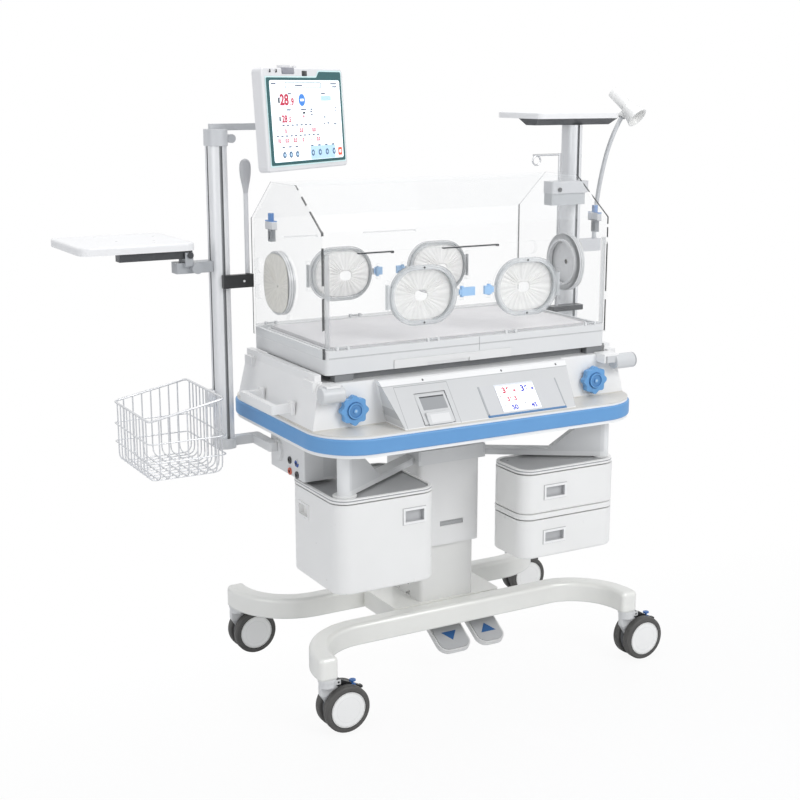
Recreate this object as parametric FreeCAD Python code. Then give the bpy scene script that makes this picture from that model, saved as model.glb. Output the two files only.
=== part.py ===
import FreeCAD, Part
import math, os

os.makedirs("parts", exist_ok=True)
V = FreeCAD.Vector

# Frame: the origin is under the middle of the bounding box, on the floor.
frameX, frameY = -69.07, 29.5

# Driving dimensions, millimetres, before the shift to the frame's origin.
castorX, castorY = 476.0, 292.5
wheelR, wheelTrail = 62.5, 43.4
wheelIn, wheelOut = 10.0, 34.0
legW, legLow, legHigh = 52.0, 147.0, 205.0
legY, legBend, legStraight = 120.0, 165.0, 311.0
colX, colFront, colBack = 98.0, -100.0, 92.0
colLow, colSplit, colHigh = 205.0, 368.0, 718.0
trayX, trayY, trayR = 489.0, 341.0, 135.0
trayLow, trayHigh, lipH = 726.0, 766.0, 8.0
shellBaseX, shellTopX = 485.0, 455.0
shellFront, shellBack = -236.0, 236.0
shellTopFront, shellTopBack = -222.0, 228.0
shellHigh, cheekHigh = 886.0, 908.0
panelLeft, panelRight, panelSplay = -300.0, 272.0, 28.0
panelFoot, panelHead = -335.0, -246.0
deckX, deckFront, deckBack = 428.0, -206.0, 227.0
deckLow, deckHigh = 905.0, 966.0
hoodX, hoodFold, hoodHigh = 433.0, 1259.0, 1364.0
hoodTopFront, hoodTopBack = -59.0, 94.0
glass = 5.0
flapLow, flapHigh = 971.0, 1205.0
portX, portZ = 157.0, 1090.0
portW, portH = 172.0, 130.0
irisY, irisZ, irisR = 10.7, 1112.0, 82.0
postX, postY, postW, postD = 560.0, 145.0, 48.0, 66.0
postLow, postHigh = 682.0, 1456.0
tubeX, tubeY, tubeR = 400.0, -250.0, 19.0
armLow = 606.5
binHigh, binLow, lidZ = 592.0, 355.0, 605.0
knobX, knobZ, knobR = 370.0, 820.0, 38.5
monX, monY, monZ = -322.4, 100.0, 1521.8
monW, monH, monT = 394.0, 257.0, 30.0
monYaw, monTilt = 32.8, 3.66
rodX, rodY, rodR = 478.0, 88.0, 5.2
fit = 0.05


def box(x0, x1, y0, y1, z0, z1):
    return Part.makeBox(x1 - x0, y1 - y0, z1 - z0, V(x0, y0, z0))


def cyl(x, y, z, r, h, axis):
    return Part.makeCylinder(r, h, V(x, y, z), axis)


def ring(x, y, z, r, hole, h, axis):
    return cyl(x, y, z, r, h, axis).cut(cyl(x, y, z, hole, h, axis))


X, Y, Z = V(1, 0, 0), V(0, 1, 0), V(0, 0, 1)


def fuse(first, *rest):
    shape = first.fuse(list(rest)) if rest else first
    return shape.removeSplitter()


def cut(first, *rest):
    return first.cut(list(rest))


def slab(x0, x1, y0, y1, z0, z1, r):
    """A plate with rounded upright corners."""
    r = min(r, (x1 - x0) / 2 - 0.01, (y1 - y0) / 2 - 0.01)
    k = r * (1 - math.sqrt(0.5))
    pts = []
    for cx, cy, sx, sy in ((x1, y0, 1, -1), (x1, y1, 1, 1), (x0, y1, -1, 1), (x0, y0, -1, -1)):
        along = V(cx - sx * r, cy, z0)
        across = V(cx, cy - sy * r, z0)
        mid = V(cx - sx * k, cy - sy * k, z0)
        pts.append((along, mid, across) if sx * sy < 0 else (across, mid, along))
    edges = []
    for i, (a, m, b) in enumerate(pts):
        edges.append(Part.Arc(a, m, b).toShape())
        edges.append(Part.makeLine(b, pts[(i + 1) % 4][0]))
    return Part.Face(Part.Wire(edges)).extrude(V(0, 0, z1 - z0))


def plate(points, depth):
    """A flat polygon pushed through by the vector depth."""
    wire = Part.makePolygon([V(*p) for p in points] + [V(*points[0])])
    return Part.Face(wire).extrude(V(*depth))


def hull8(low, high):
    """A solid between two four-cornered outlines."""
    lower = [V(*p) for p in low]
    upper = [V(*p) for p in high]
    faces = [Part.Face(Part.makePolygon(lower + [lower[0]])), Part.Face(Part.makePolygon(upper + [upper[0]]))]
    for i in range(4):
        j = (i + 1) % 4
        faces.append(Part.Face(Part.makePolygon([lower[i], lower[j], upper[j], upper[i], lower[i]])))
    return Part.makeSolid(Part.makeShell(faces))


def rect(x0, x1, y0, y1, z):
    return [(x0, y0, z), (x1, y0, z), (x1, y1, z), (x0, y1, z)]


def oval(xc, zc, w, h, y0, y1):
    """A flattened round opening, seen along Y."""
    r = h / 2 * 0.96
    flat = slab(xc - w / 2, xc + w / 2, zc - h / 2, zc + h / 2, 0, abs(y1 - y0), r)
    flat.rotate(V(0, 0, 0), X, 90)
    flat.translate(V(0, max(y0, y1), 0))
    return flat


def flipX(shape):
    return shape.mirror(V(0, 0, 0), X)


def flipY(shape, mid=0.0):
    return shape.mirror(V(0, mid, 0), Y)


def rounded(shape, r, pick):
    edges = [e for e in shape.Edges if pick(e)]
    try:
        done = shape.makeFillet(r, edges)
        return done if done.isValid() else shape
    except Exception:
        return shape


def upright(e):
    a, b = e.Vertexes[0].Point, e.Vertexes[-1].Point
    return abs(a.x - b.x) + abs(a.y - b.y) < 40 and abs(a.z - b.z) > 20


def put(name, *shapes):
    whole = shapes[0] if len(shapes) == 1 else Part.makeCompound(list(shapes))
    whole = whole.copy()
    whole.translate(V(-frameX, -frameY, 0))
    whole.exportStep("parts/" + name + ".step")


def leg():
    h = legW / 2
    yb = -(legY + legBend)
    end = -(castorY + 17)
    outer, inner = legBend + h, legBend - h
    s = math.sqrt(0.5)
    a = legStraight

    def p(x, y):
        return V(x, y, legLow)

    nose = 12.0
    edges = [
        Part.makeLine(p(-a, yb + outer), p(a, yb + outer)),
        Part.Arc(p(a, yb + outer), p(a + outer * s, yb + outer * s), p(a + outer, yb)).toShape(),
        Part.makeLine(p(a + outer, yb), p(a + outer, end + nose)),
        Part.Arc(p(a + outer, end + nose), p(a + outer - nose * 0.3, end + nose * 0.3),
                 p(a + outer - nose, end)).toShape(),
        Part.makeLine(p(a + outer - nose, end), p(a + inner + nose, end)),
        Part.Arc(p(a + inner + nose, end), p(a + inner + nose * 0.3, end + nose * 0.3),
                 p(a + inner, end + nose)).toShape(),
        Part.makeLine(p(a + inner, end + nose), p(a + inner, yb)),
        Part.Arc(p(a + inner, yb), p(a + inner * s, yb + inner * s), p(a, yb + inner)).toShape(),
        Part.makeLine(p(a, yb + inner), p(-a, yb + inner)),
        Part.Arc(p(-a, yb + inner), p(-a - inner * s, yb + inner * s), p(-a - inner, yb)).toShape(),
        Part.makeLine(p(-a - inner, yb), p(-a - inner, end + nose)),
        Part.Arc(p(-a - inner, end + nose), p(-a - inner - nose * 0.3, end + nose * 0.3),
                 p(-a - inner - nose, end)).toShape(),
        Part.makeLine(p(-a - inner - nose, end), p(-a - outer + nose, end)),
        Part.Arc(p(-a - outer + nose, end), p(-a - outer + nose * 0.3, end + nose * 0.3),
                 p(-a - outer, end + nose)).toShape(),
        Part.makeLine(p(-a - outer, end + nose), p(-a - outer, yb)),
        Part.Arc(p(-a - outer, yb), p(-a - outer * s, yb + outer * s), p(-a, yb + outer)).toShape(),
    ]
    solid = Part.Face(Part.Wire(edges)).extrude(V(0, 0, legHigh - legLow))
    solid = rounded(solid, 13.0, lambda e: all(abs(v.Point.z - legHigh) < 0.1 for v in e.Vertexes))
    bores = [cyl(sx * castorX, -castorY, legLow - 1, 8 + fit, 30, Z) for sx in (-1, 1)]
    return cut(solid, *bores)


def base():
    front = leg()
    hub = slab(-170, 170, -96, 96, 152, legHigh, 12)
    rail = box(-54, 174, -70, -34, 132, 153)
    pin = cyl(-53, -52, 118, 3, 226, X)
    ears = [slab(x, x + 6, -62, -42, 108, 153, 2) for x in (-54.3, 55.3, 71.7, 168.3)]
    put("legFrame", fuse(front, flipY(front), hub, rail, pin, *ears))
    inner = cut(slab(-86, 86, -88, 80, colLow, 605, 12), slab(-80, 80, -82, 74, colLow + 8, 606, 6))
    hole = plate([(-90, -30, 222), (-90, -2, 208), (-90, -30, 208)], (10, 0, 0))
    screws = [cyl(-88, y, z, 2.5, 6, X) for y, z in ((-20, 240), (14, 236), (-44, 262), (30, 214))]
    put("columnInner", cut(inner, hole, *screws))


def castor(tag, sx, sy):
    x, y = sx * castorX, sy * castorY
    ax, az = x + wheelTrail, wheelR
    cup = ring(x, y, 125, 22, 8.5, 14, Z).fuse(cyl(x, y, 139, 24, 8 - 0.3, Z))
    stem = cyl(x, y, 125, 8, 48, Z)
    web = plate([(x - 21, y - 8, 128), (x - 21, y - 8, 104), (x + 6, y - 8, 62), (x + 30, y - 8, 44),
                 (x + 56, y - 8, 46), (x + 62, y - 8, 64), (x + 46, y - 8, 88), (x + 22, y - 8, 126)], (0, 16, 0))
    eye = cyl(ax, y - 8, az, 18, 16, Y)
    ears = [box(x + 18, x + 33, y - 11.5, y - 8.2, 127, 139), box(x + 18, x + 33, y + 8.2, y + 11.5, 127, 139)]
    body = fuse(cup, stem, web, eye, *ears)
    body = cut(body, cyl(ax, y - 9, az, 6 + fit, 18, Y), cyl(x + 27, y - 13, 133, 3 + fit, 26, Y),
               box(x + 22.5, x + 60, y - 8.2, y + 8.2, 122, 146))
    put("fork" + tag, body)
    sides = []
    for s in (-1, 1):
        y0 = y + s * wheelIn if s > 0 else y - wheelOut
        disc = cyl(ax, y0, az, wheelR, wheelOut - wheelIn, Y)
        disc = rounded(disc, 6.0, lambda e: len(e.Vertexes) < 2 or e.Length > 300)
        face = y + s * wheelOut
        disc = disc.cut(ring(ax, face - 3, az, 47, 44.5, 6, Y))
        sides.append(disc)
    axle = cyl(ax, y - wheelIn, az, 6, 2 * wheelIn, Y)
    put("wheel" + tag, axle, *sides)
    bar = plate([(x + 23.5, y - 7, 129), (x + 33, y - 7, 127.5), (x + 92, y - 7, 103), (x + 95, y - 7, 107),
                 (x + 34, y - 7, 138), (x + 23.5, y - 7, 138)], (0, 14, 0))
    pin = cyl(x + 27, y - 11.4, 133, 3, 22.8, Y)
    foot = slab(x + 80, x + 99, y - 9, y + 9, 103, 107, 5)
    stalk = cyl(x + 72, y, 112, 3, 12, Z)
    cap = cyl(x + 72, y, 124, 8.5, 3.5, Z)
    put("brake" + tag, fuse(bar, pin, stalk, cap, foot))


def pedal(tag, x0, x1, up):
    w = x1 - x0
    xc = (x0 + x1) / 2
    rim = slab(x0, x1, -100, 0, 0, 14, 30).fuse(box(x0, x1, -40, 0, 0, 14)).removeSplitter()
    rim = cut(rim, slab(x0 + 4, x1 - 4, -96, 6, 10.5, 15, 26))
    pad = slab(x0 + 5, x1 - 5, -95, -6, 10.5, 15.5, 25)
    s = 1 if up else -1
    tri = plate([(xc - 24, -50 - s * 14, 15.2), (xc + 24, -50 - s * 14, 15.2), (xc, -50 + s * 17, 15.2)], (0, 0, 0.8))
    whole = fuse(rim, pad, tri)
    whole.translate(V(0, -6, -8))
    whole.rotate(V(0, 0, 0), X, 30)
    whole.translate(V(0, -52, 118))
    barrel = cyl(x0, -52, 118, 7, w, X)
    whole = cut(fuse(whole, barrel), cyl(x0 - 2, -52, 118, 3 + fit, w + 4, X))
    put("pedal" + tag, whole)


def column():
    shell = slab(-colX, colX, colFront, colBack, colSplit, colHigh - 18, 16)
    core = slab(-colX + 6, colX - 6, colFront + 6, colBack - 6, colSplit + 12, colHigh, 10)
    neck = slab(-86 - fit, 86 + fit, -88 - fit, 80 + fit, colSplit - 1, colSplit + 14, 12)
    slot = box(-31, 44, colFront - 1, colFront + 3, 421, 436)
    bar = box(-28, 41, colFront + 1, colFront + 4, 427, 431)
    put("columnCover", fuse(cut(shell, core, neck, slot), bar))


def tray():
    lower = slab(-trayX + 5, trayX - 5, -trayY + 5, trayY - 5, trayLow - lipH, trayLow, trayR - 5)
    body = slab(-trayX + 14, trayX - 14, -trayY + 14, trayY - 14, trayLow, trayHigh, trayR - 14)
    upper = slab(-trayX + 5, trayX - 5, -trayY + 5, trayY - 5, trayHigh, trayHigh + lipH, trayR - 5)
    pocket = slab(-trayX + 40, trayX - 40, -trayY + 40, trayY - 40, trayLow - 2, trayHigh - 4, 90)
    rim = slab(-trayX, trayX, -trayY, trayY, trayLow + 0.1, trayHigh - 0.1, trayR)
    rim = rounded(rim, 5.0, lambda e: all(abs(v.Point.z - trayHigh + 0.1) < 0.01 for v in e.Vertexes)
                  or all(abs(v.Point.z - trayLow - 0.1) < 0.01 for v in e.Vertexes))
    hole = slab(-trayX + 14, trayX - 14, -trayY + 14, trayY - 14, trayLow - 1, trayHigh + 1, trayR - 14)
    put("bumper", cut(rim, hole))
    ledges = [box(x, x + 8, -300, -160, trayHigh + lipH - 2, trayHigh + lipH + 7.7) for x in (-214, -134)]
    return fuse(fuse(lower, body, upper).cut(pocket), *ledges)


def shell():
    z0 = trayHigh + lipH
    outer = hull8(rect(-shellBaseX + 6, shellBaseX - 6, shellFront, shellBack, z0),
                  rect(-shellTopX, shellTopX, shellTopFront, shellTopBack, shellHigh))
    outer = rounded(outer, 16.0, lambda e: abs(e.Vertexes[0].Point.z - e.Vertexes[-1].Point.z) > 50)
    wedge = plate([(panelLeft, -200, z0), (panelLeft, panelFoot, z0), (panelLeft, panelFoot, z0 + 3),
                   (panelLeft, panelHead, shellHigh - 2), (panelLeft, panelHead + 8, shellHigh),
                   (panelLeft, -200, shellHigh)], (panelRight - panelLeft, 0, 0))
    for x, s in ((panelLeft, 1), (panelRight, -1)):
        wedge = wedge.cut(plate([(x - s, panelFoot - 1, z0 - 1), (x + s * panelSplay, panelFoot - 1, z0 - 1),
                                 (x, panelFoot - 1, shellHigh + 1), (x - s, panelFoot - 1, shellHigh + 1)], (0, 140, 0)))
    cheeks = []
    for s in (-1, 1):
        a, b = s * shellTopX, s * (shellTopX - 18)
        cheek = box(min(a, b), max(a, b), shellTopFront + 22, shellTopBack - 4, shellHigh - 6, cheekHigh)
        cheeks.append(cheek)
    core = hull8(rect(-shellBaseX + 14, shellBaseX - 14, shellFront + 8, shellBack - 8, z0 - 1),
                 rect(-shellTopX + 9, shellTopX - 9, shellTopFront + 8, shellTopBack - 8, shellHigh - 5))
    a = panelLeft + panelSplay + 6
    front = plate([(a, -226, z0 - 1), (a, panelFoot + 12, z0 - 1), (a, panelHead + 8, shellHigh - 8),
                   (a, -210, shellHigh - 8)], (panelRight - panelSplay - 6 - a, 0, 0))
    body = fuse(outer, wedge, *cheeks).cut(core.fuse(front))
    bores = [cyl(s * knobX, -260, knobZ, 6 + fit, 60, Y) for s in (-1, 1)]
    water = box(-216, -124, -360, -150, z0 + 6, 850)
    body = cut(body, water, *bores)
    slopes = math.atan2(panelHead - panelFoot, shellHigh - 2 - z0 - 3)
    skin = panelFace(-28, 217, 1.0, 92.0, 2.0, slopes)
    body = fuse(body, *sideFittings())
    put("housing", body.cut(skin), tray())
    return slopes


def panelFace(x0, x1, low, high, deep, slope, proud=0.0):
    """A flat inlay on the sloped front, measured up the slope from its foot."""
    foot = V(0, panelFoot, trayHigh + lipH + 3)
    piece = Part.makeBox(x1 - x0, deep + proud, high - low, V(x0, -proud, low))
    piece.rotate(V(0, 0, 0), X, -math.degrees(slope))
    piece.translate(foot)
    return piece


def sideFittings():
    out = []
    for s in (-1, 1):
        for y in (-115, 75):
            boss = slab(min(s * 474, s * 486), max(s * 474, s * 486), y - 14, y + 14, 796, 828, 5)
            post = box(min(s * 484, s * 534), max(s * 484, s * 534), y - 8, y + 8, 801, 823)
            out += [boss, post]
        out.append(slab(min(s * 522, s * 538), max(s * 522, s * 538), -123, 83, 800, 824, 7))
        for y0, y1 in ((-212, -150), (164, 214)):
            out.append(box(min(s * 440, s * 466), max(s * 440, s * 466), y0, y1, 868, 893))
    for x0, x1, arm0, arm1 in ((-465, -402, -452, -414), (430, 498, 392, 440)):
        barrel = cyl(x0, -250, 866, 21, x1 - x0, X)
        out.append(rounded(barrel, 3.0, lambda e: e.Length > 100))
        out.append(box(arm0, arm1, -262, -214, 866, 890))
    return out


def controls(slope):
    frame = panelFace(-27.7, 216.7, 1.3, 91.7, 1.7, slope, 0.6)
    window = panelFace(21, 141, 11, 99 - 12, 1.5, slope, 1.6)
    strip = panelFace(-24, 214, 1.8, 11.5, 1.5, slope, 2.8)
    put("controlPanel", fuse(frame, window, strip))
    z0 = trayHigh + lipH
    front = plate([(-214, -333, z0 + 8), (-214, -329, z0 + 8), (-214, -268, 848), (-214, -272, 848)], (88, 0, 0))
    bin_ = cut(box(-212, -128, -300, -160, z0 + 8, 846), box(-209, -131, -296, -163, z0 + 11, 850),
               plate([(-215, -340, z0 + 7), (-215, -329.5, z0 + 7), (-215, -268.5, 849), (-215, -340, 849)], (90, 0, 0)))
    lift = plate([(-204, -333, z0 + 8), (-204, -338, z0 + 8), (-204, -319, 808), (-204, -312, 808)], (68, 0, 0))
    put("waterDrawer", fuse(front, bin_, lift))


def posts():
    out = []
    for s in (-1, 1):
        x = s * postX
        bar = slab(x - postW / 2, x + postW / 2, postY - postD / 2, postY + postD / 2, postLow,
                   postHigh if s < 0 else 1494, postW / 2 - 2)
        grooves = [box(x - 4, x + 4, postY + t * postD / 2 - 6, postY + t * postD / 2 + 6, postLow - 1, 1500)
                   for t in (-1, 1)]
        edge = x + s * postW / 2
        grooves.append(box(edge - 6, edge + 6, postY - 4, postY + 4, postLow - 1, 1500))
        bar = cut(bar, *grooves)
        top = postHigh if s < 0 else 1494
        bar = fuse(bar, cyl(x, postY, top - 20, 10, 40 if s < 0 else 34, Z))
        out.append(bar)
    put("posts", *out)


def underframe():
    out = []
    for s in (-1, 1):
        a, b = sorted((s * (postX + 30), s * 456))
        bar = slab(a, b, 132, 158, 664, 688, 8)
        run = slab(min(s * 456, s * 482), max(s * 456, s * 482), 22, 158, 664, 688, 8)
        cradle = slab(s * postX - 28, s * postX + 28, postY - 37, postY + 37, 662, 690, 26)
        socket = slab(s * postX - postW / 2, s * postX + postW / 2, postY - postD / 2, postY + postD / 2,
                      postLow, 700, postW / 2 - 2)
        out.append(fuse(bar, run, cradle).cut(socket))
    left = slab(-450, -340, -120, 88, 612, trayLow - lipH, 4)
    boss = cyl(-458, 36, 664, 30, 10, X)
    right = slab(350, 460, 0, 100, 640, trayLow - lipH, 4)
    left = fuse(left, boss, out[0])
    for y, z in ((-35, 652), (-78, 654), (-35, 622), (-78, 622)):
        left = fuse(left, cyl(-453, y, z, 9.5, 4, X)).cut(cyl(-454, y, z, 4.5, 5, X))
    right = fuse(right, out[1])
    arms = []
    for s in (-1, 1):
        tube = cyl(s * tubeX, tubeY, 592, tubeR, trayLow - lipH - 592, Z)
        tube = tube.fuse(cyl(s * tubeX, tubeY, 591, 25, 2.7, Z))
        dx, dy = s * (colX - 30) - s * tubeX, -40 - tubeY
        n = math.hypot(dx, dy)
        ux, uy = dx / n, dy / n
        px, py = -uy * tubeR, ux * tubeR
        profile = [(0, armLow), (n, armLow), (n, armLow + 18), (146, armLow + 18), (33, trayLow - lipH),
                   (0, trayLow - lipH)]
        arm = plate([(s * tubeX + ux * t - px, tubeY + uy * t - py, z) for t, z in profile], (2 * px, 2 * py, 0))
        arms.append(fuse(tube, arm))
    shelf = slab(-60, 160, -210, -110, 694, trayLow - lipH, 10)
    bridge = cut(box(-colX - 8, colX + 8, colFront - 12, colBack + 8, armLow, 645),
                 slab(-colX, colX, colFront, colBack, 600, 650, 16))
    around = slab(-colX, colX, colFront, colBack, 600, 730, 16)
    put("underframe", left, right, fuse(arms[0], arms[1], bridge).cut(around), shelf.cut(around))


def basket():
    x0, x1, y0, y1 = -810.0, -602.0, 24.0, 306.0
    low, mid = 620.0, 722.0
    out, inn = 782.0, 822.0
    w = 4.0
    parts = []

    def height(x):
        return out + (inn - out) * (x - x0) / (x1 - x0)

    def tee(points, depth):
        return plate(points, depth)

    ny, nx = 11, 7
    c = 14.0
    for i in range(1, ny):
        y = y0 + (y1 - y0) * i / ny - w / 2
        outer = [(x0, y, out), (x0, y, low + c), (x0 + c, y, low), (x1 - c, y, low), (x1, y, low + c), (x1, y, inn)]
        inner = [(x1 - w, y, inn), (x1 - w, y, low + c + 1), (x1 - c - 1, y, low + w), (x0 + c + 1, y, low + w),
                 (x0 + w, y, low + c + 1), (x0 + w, y, out)]
        parts.append(tee(outer + inner, (0, w, 0)))
    for i in range(1, nx):
        x = x0 + (x1 - x0) * i / nx - w / 2
        h = height(x)
        outer = [(x, y0, h), (x, y0, low + c), (x, y0 + c, low), (x, y1 - c, low), (x, y1, low + c), (x, y1, h)]
        inner = [(x, y1 - w, h), (x, y1 - w, low + c + 1), (x, y1 - c - 1, low + w), (x, y0 + c + 1, low + w),
                 (x, y0 + w, low + c + 1), (x, y0 + w, h)]
        parts.append(tee(outer + inner, (w, 0, 0)))
    for z in (mid, low + 52):
        band = slab(x0 - 1, x1 + 1, y0 - 1, y1 + 1, z, z + w, 16)
        parts.append(band.cut(slab(x0 + w, x1 - w, y0 + w, y1 - w, z - 1, z + w + 1, 12)))
    t = 6.0
    rim = slab(x0 - 2, x1 + 2, y0 - 2, y1 + 2, low, inn + 60, 18)
    rim = rim.cut(slab(x0 + t - 1, x1 - t + 1, y0 + t - 1, y1 - t + 1, low - 1, inn + 80, 13))
    keep = plate([(x0 - 9, y0 - 9, height(x0 - 9) - 3), (x1 + 9, y0 - 9, height(x1 + 9) - 3),
                  (x1 + 9, y0 - 9, height(x1 + 9) + 3.5), (x0 - 9, y0 - 9, height(x0 - 9) + 3.5)],
                 (0, y1 - y0 + 18, 0))
    parts.append(rim.common(keep))
    for y in (60, 165, 270):
        parts.append(box(x0 + 8, x1 - 8, y - 2, y + 2, low + w - 1, low + w + 3))
    hook = slab(x1 - 3, -584.2, 130, 160, 776, 822, 4)
    tongue = box(-585, -579.2, postY - 3.9, postY + 3.9, 782, 816)
    parts += [hook, tongue]
    put("basket", fuse(*parts))


def fittings():
    left = slab(-568, -484, 94, 111.8, 1094, 1128, 3)
    left = fuse(left, box(-563.9, -556.1, 108, 117.5, 1097, 1125))
    stem = cyl(-497, 106, 1128, 6, 212, Z)
    blade = Part.BSplineCurve()
    blade.interpolate([V(-491, 106, 1330), V(-489.5, 106, 1345), V(-484, 106, 1372), V(-481.5, 106, 1400),
                       V(-484.5, 106, 1416), V(-497, 106, 1424)])
    face = Part.Face(Part.Wire([blade.toShape(), Part.makeLine(V(-497, 106, 1424), V(-497, 106, 1330)),
                                Part.makeLine(V(-497, 106, 1330), V(-491, 106, 1330))]))
    paddle = face.revolve(V(-497, 106, 0), Z, 360)
    squeeze = FreeCAD.Matrix()
    squeeze.move(V(0, -106, 0))
    squeeze.scale(1, 0.62, 1)
    squeeze.move(V(0, 106, 0))
    paddle = paddle.transformGeometry(squeeze)
    dot = cyl(-512, 92.5, 1111, 3, 3, Y)
    wand = fuse(left, stem, paddle, dot)
    hold = slab(436, 568, 64, 111.8, 1302, 1336, 8)
    hold = fuse(hold, slab(440, 560, 70, 111.8, 1268, 1303, 5), box(556.1, 563.9, 108, 117.5, 1272, 1332),
                cyl(462, 60, 1313, 6.5, 6, Y))
    hold = cut(hold, cyl(rodX, rodY, 1260, rodR + fit, 90, Z))
    foot = slab(456, 568, 74, 111.8, 955, 970, 5).fuse(box(556.1, 563.9, 108, 117.5, 957, 968))
    foot = cut(foot, cyl(rodX, rodY, 950, rodR + fit, 30, Z))
    neck = slab(584.2, 668, 128, 162, 1120, 1156, 6)
    tongue = box(579.2, 590, postY - 3.9, postY + 3.9, 1124, 1152)
    neck = cut(fuse(neck, tongue), cyl(652, postY, 1130, 7 + fit, 40, Z))
    put("postFittings", wand, hold, foot, neck)


def trayArm():
    block = slab(-684, -584.2, 124, 166, 1136, 1164, 4)
    tongue = box(-585, -579.2, postY - 3.95, postY + 3.95, 1138, 1162)
    ears = [slab(-664, -642, y, y + 6, 1160, 1191, 2.5) for y in (112, 158)]
    foot = box(-664, -642, 112, 164, 1156, 1164)
    knob = cyl(-634, 104, 1150, 14, 20, Y)
    clamp = cut(fuse(block, tongue, foot, knob, *ears), cyl(-651, 110, 1184, 4 + fit, 60, Y))
    put("trayClamp", clamp)
    arm = box(-834, -654, 122, 154, 1175, 1196)
    eye = cyl(-651, 119, 1184, 9, 38, Y)
    arm = fuse(arm, eye, box(-660, -641, 122, 154, 1184, 1196))
    arm = arm.fuse(cyl(-651, 108, 1184, 4, 56, Y))
    nut = cyl(-651, 107.7, 1184, 8, 4, Y)
    top = slab(-935, -632, 110, 400, 1196, 1216, 28)
    top = rounded(top, 5.0, lambda e: all(abs(v.Point.z - 1216) < 0.1 for v in e.Vertexes))
    put("leftTray", fuse(arm, nut, top))


def monitor():
    x = -postX
    collar = slab(x - 27, x + 27, postY - 36, postY + 36, postHigh + 0.3, 1498, 25)
    collar = cut(collar, cyl(x, postY, postHigh, 10 + fit, 26, Z))
    knob = cyl(x + 38, 128, 1474, 11, 22, Y).fuse(box(x + 20, x + 36, 135, 143, 1470, 1478))
    a = math.radians(monYaw)
    nx, ny = math.sin(a), -math.cos(a)
    cx, cy = monX - nx * (monT + 17), monY - ny * (monT + 17)
    px, py = cx - nx * 24, cy - ny * 24
    bar = slab(x - 12, px + 14, py - 11, py + 11, 1494, 1511, 9)
    pin = cyl(px, py, 1505, 8, 26, Z)
    put("monitorArm", fuse(collar, knob, bar, pin))

    def place(shape):
        shape.rotate(V(0, 0, 0), X, -monTilt)
        shape.rotate(V(0, 0, 0), Z, monYaw)
        shape.translate(V(monX, monY, monZ))
        return shape

    hub = cyl(px, py, 1511.3, 12, 22, Z)
    arm = Part.makeBox(24, 26, 16, V(-12, -4, -8))
    arm.rotate(V(0, 0, 0), Z, monYaw)
    arm.translate(V(cx, cy, 1523))
    yokePin = cyl(0, 0, 0, 5, 60, X)
    yokePin.translate(V(-30, 0, 0))
    yokePin.rotate(V(0, 0, 0), Z, monYaw)
    yokePin.translate(V(cx, cy, 1523))
    put("monitorYoke", fuse(hub, arm, yokePin).cut(cyl(px, py, 1490, 8 + fit, 43, Z)))
    case = Part.makeBox(monW, monT, monH, V(-monW / 2, 0, -monH / 2))
    case = rounded(case, 14, lambda e: abs(e.Vertexes[0].Point.y - e.Vertexes[-1].Point.y) > 5)
    case = rounded(case, 4, lambda e: all(v.Point.y < 0.1 for v in e.Vertexes))
    screen = Part.makeBox(monW - 44, 2.0, monH - 46, V(-monW / 2 + 22, -0.5, -monH / 2 + 20))
    well = Part.makeBox(monW - 44, 1.0, monH - 46, V(-monW / 2 + 22, -0.1, -monH / 2 + 20))
    lamp = slab(-100, -52, 4, 20, monH / 2 - 1, monH / 2 + 7, 6)
    eyeL = cyl(-30, 10, monH / 2 - 1, 6, 7, Z)
    back = Part.makeBox(monW - 90, 8, monH - 80, V(-monW / 2 + 45, monT - 1, -monH / 2 + 40))
    body = place(fuse(cut(case, well), screen, lamp, eyeL, back))
    ears = []
    for k in (-24, 14):
        e = Part.makeBox(10, 20, 24, V(k, monT + 5, -12))
        ears.append(e)
    lugs = [place(e) for e in ears]
    whole = fuse(body, *lugs)
    hole = cyl(-40, 0, 0, 5 + fit, 80, X)
    hole.rotate(V(0, 0, 0), Z, monYaw)
    hole.translate(V(cx, cy, 1523))
    put("monitor", whole.cut(hole))


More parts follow.
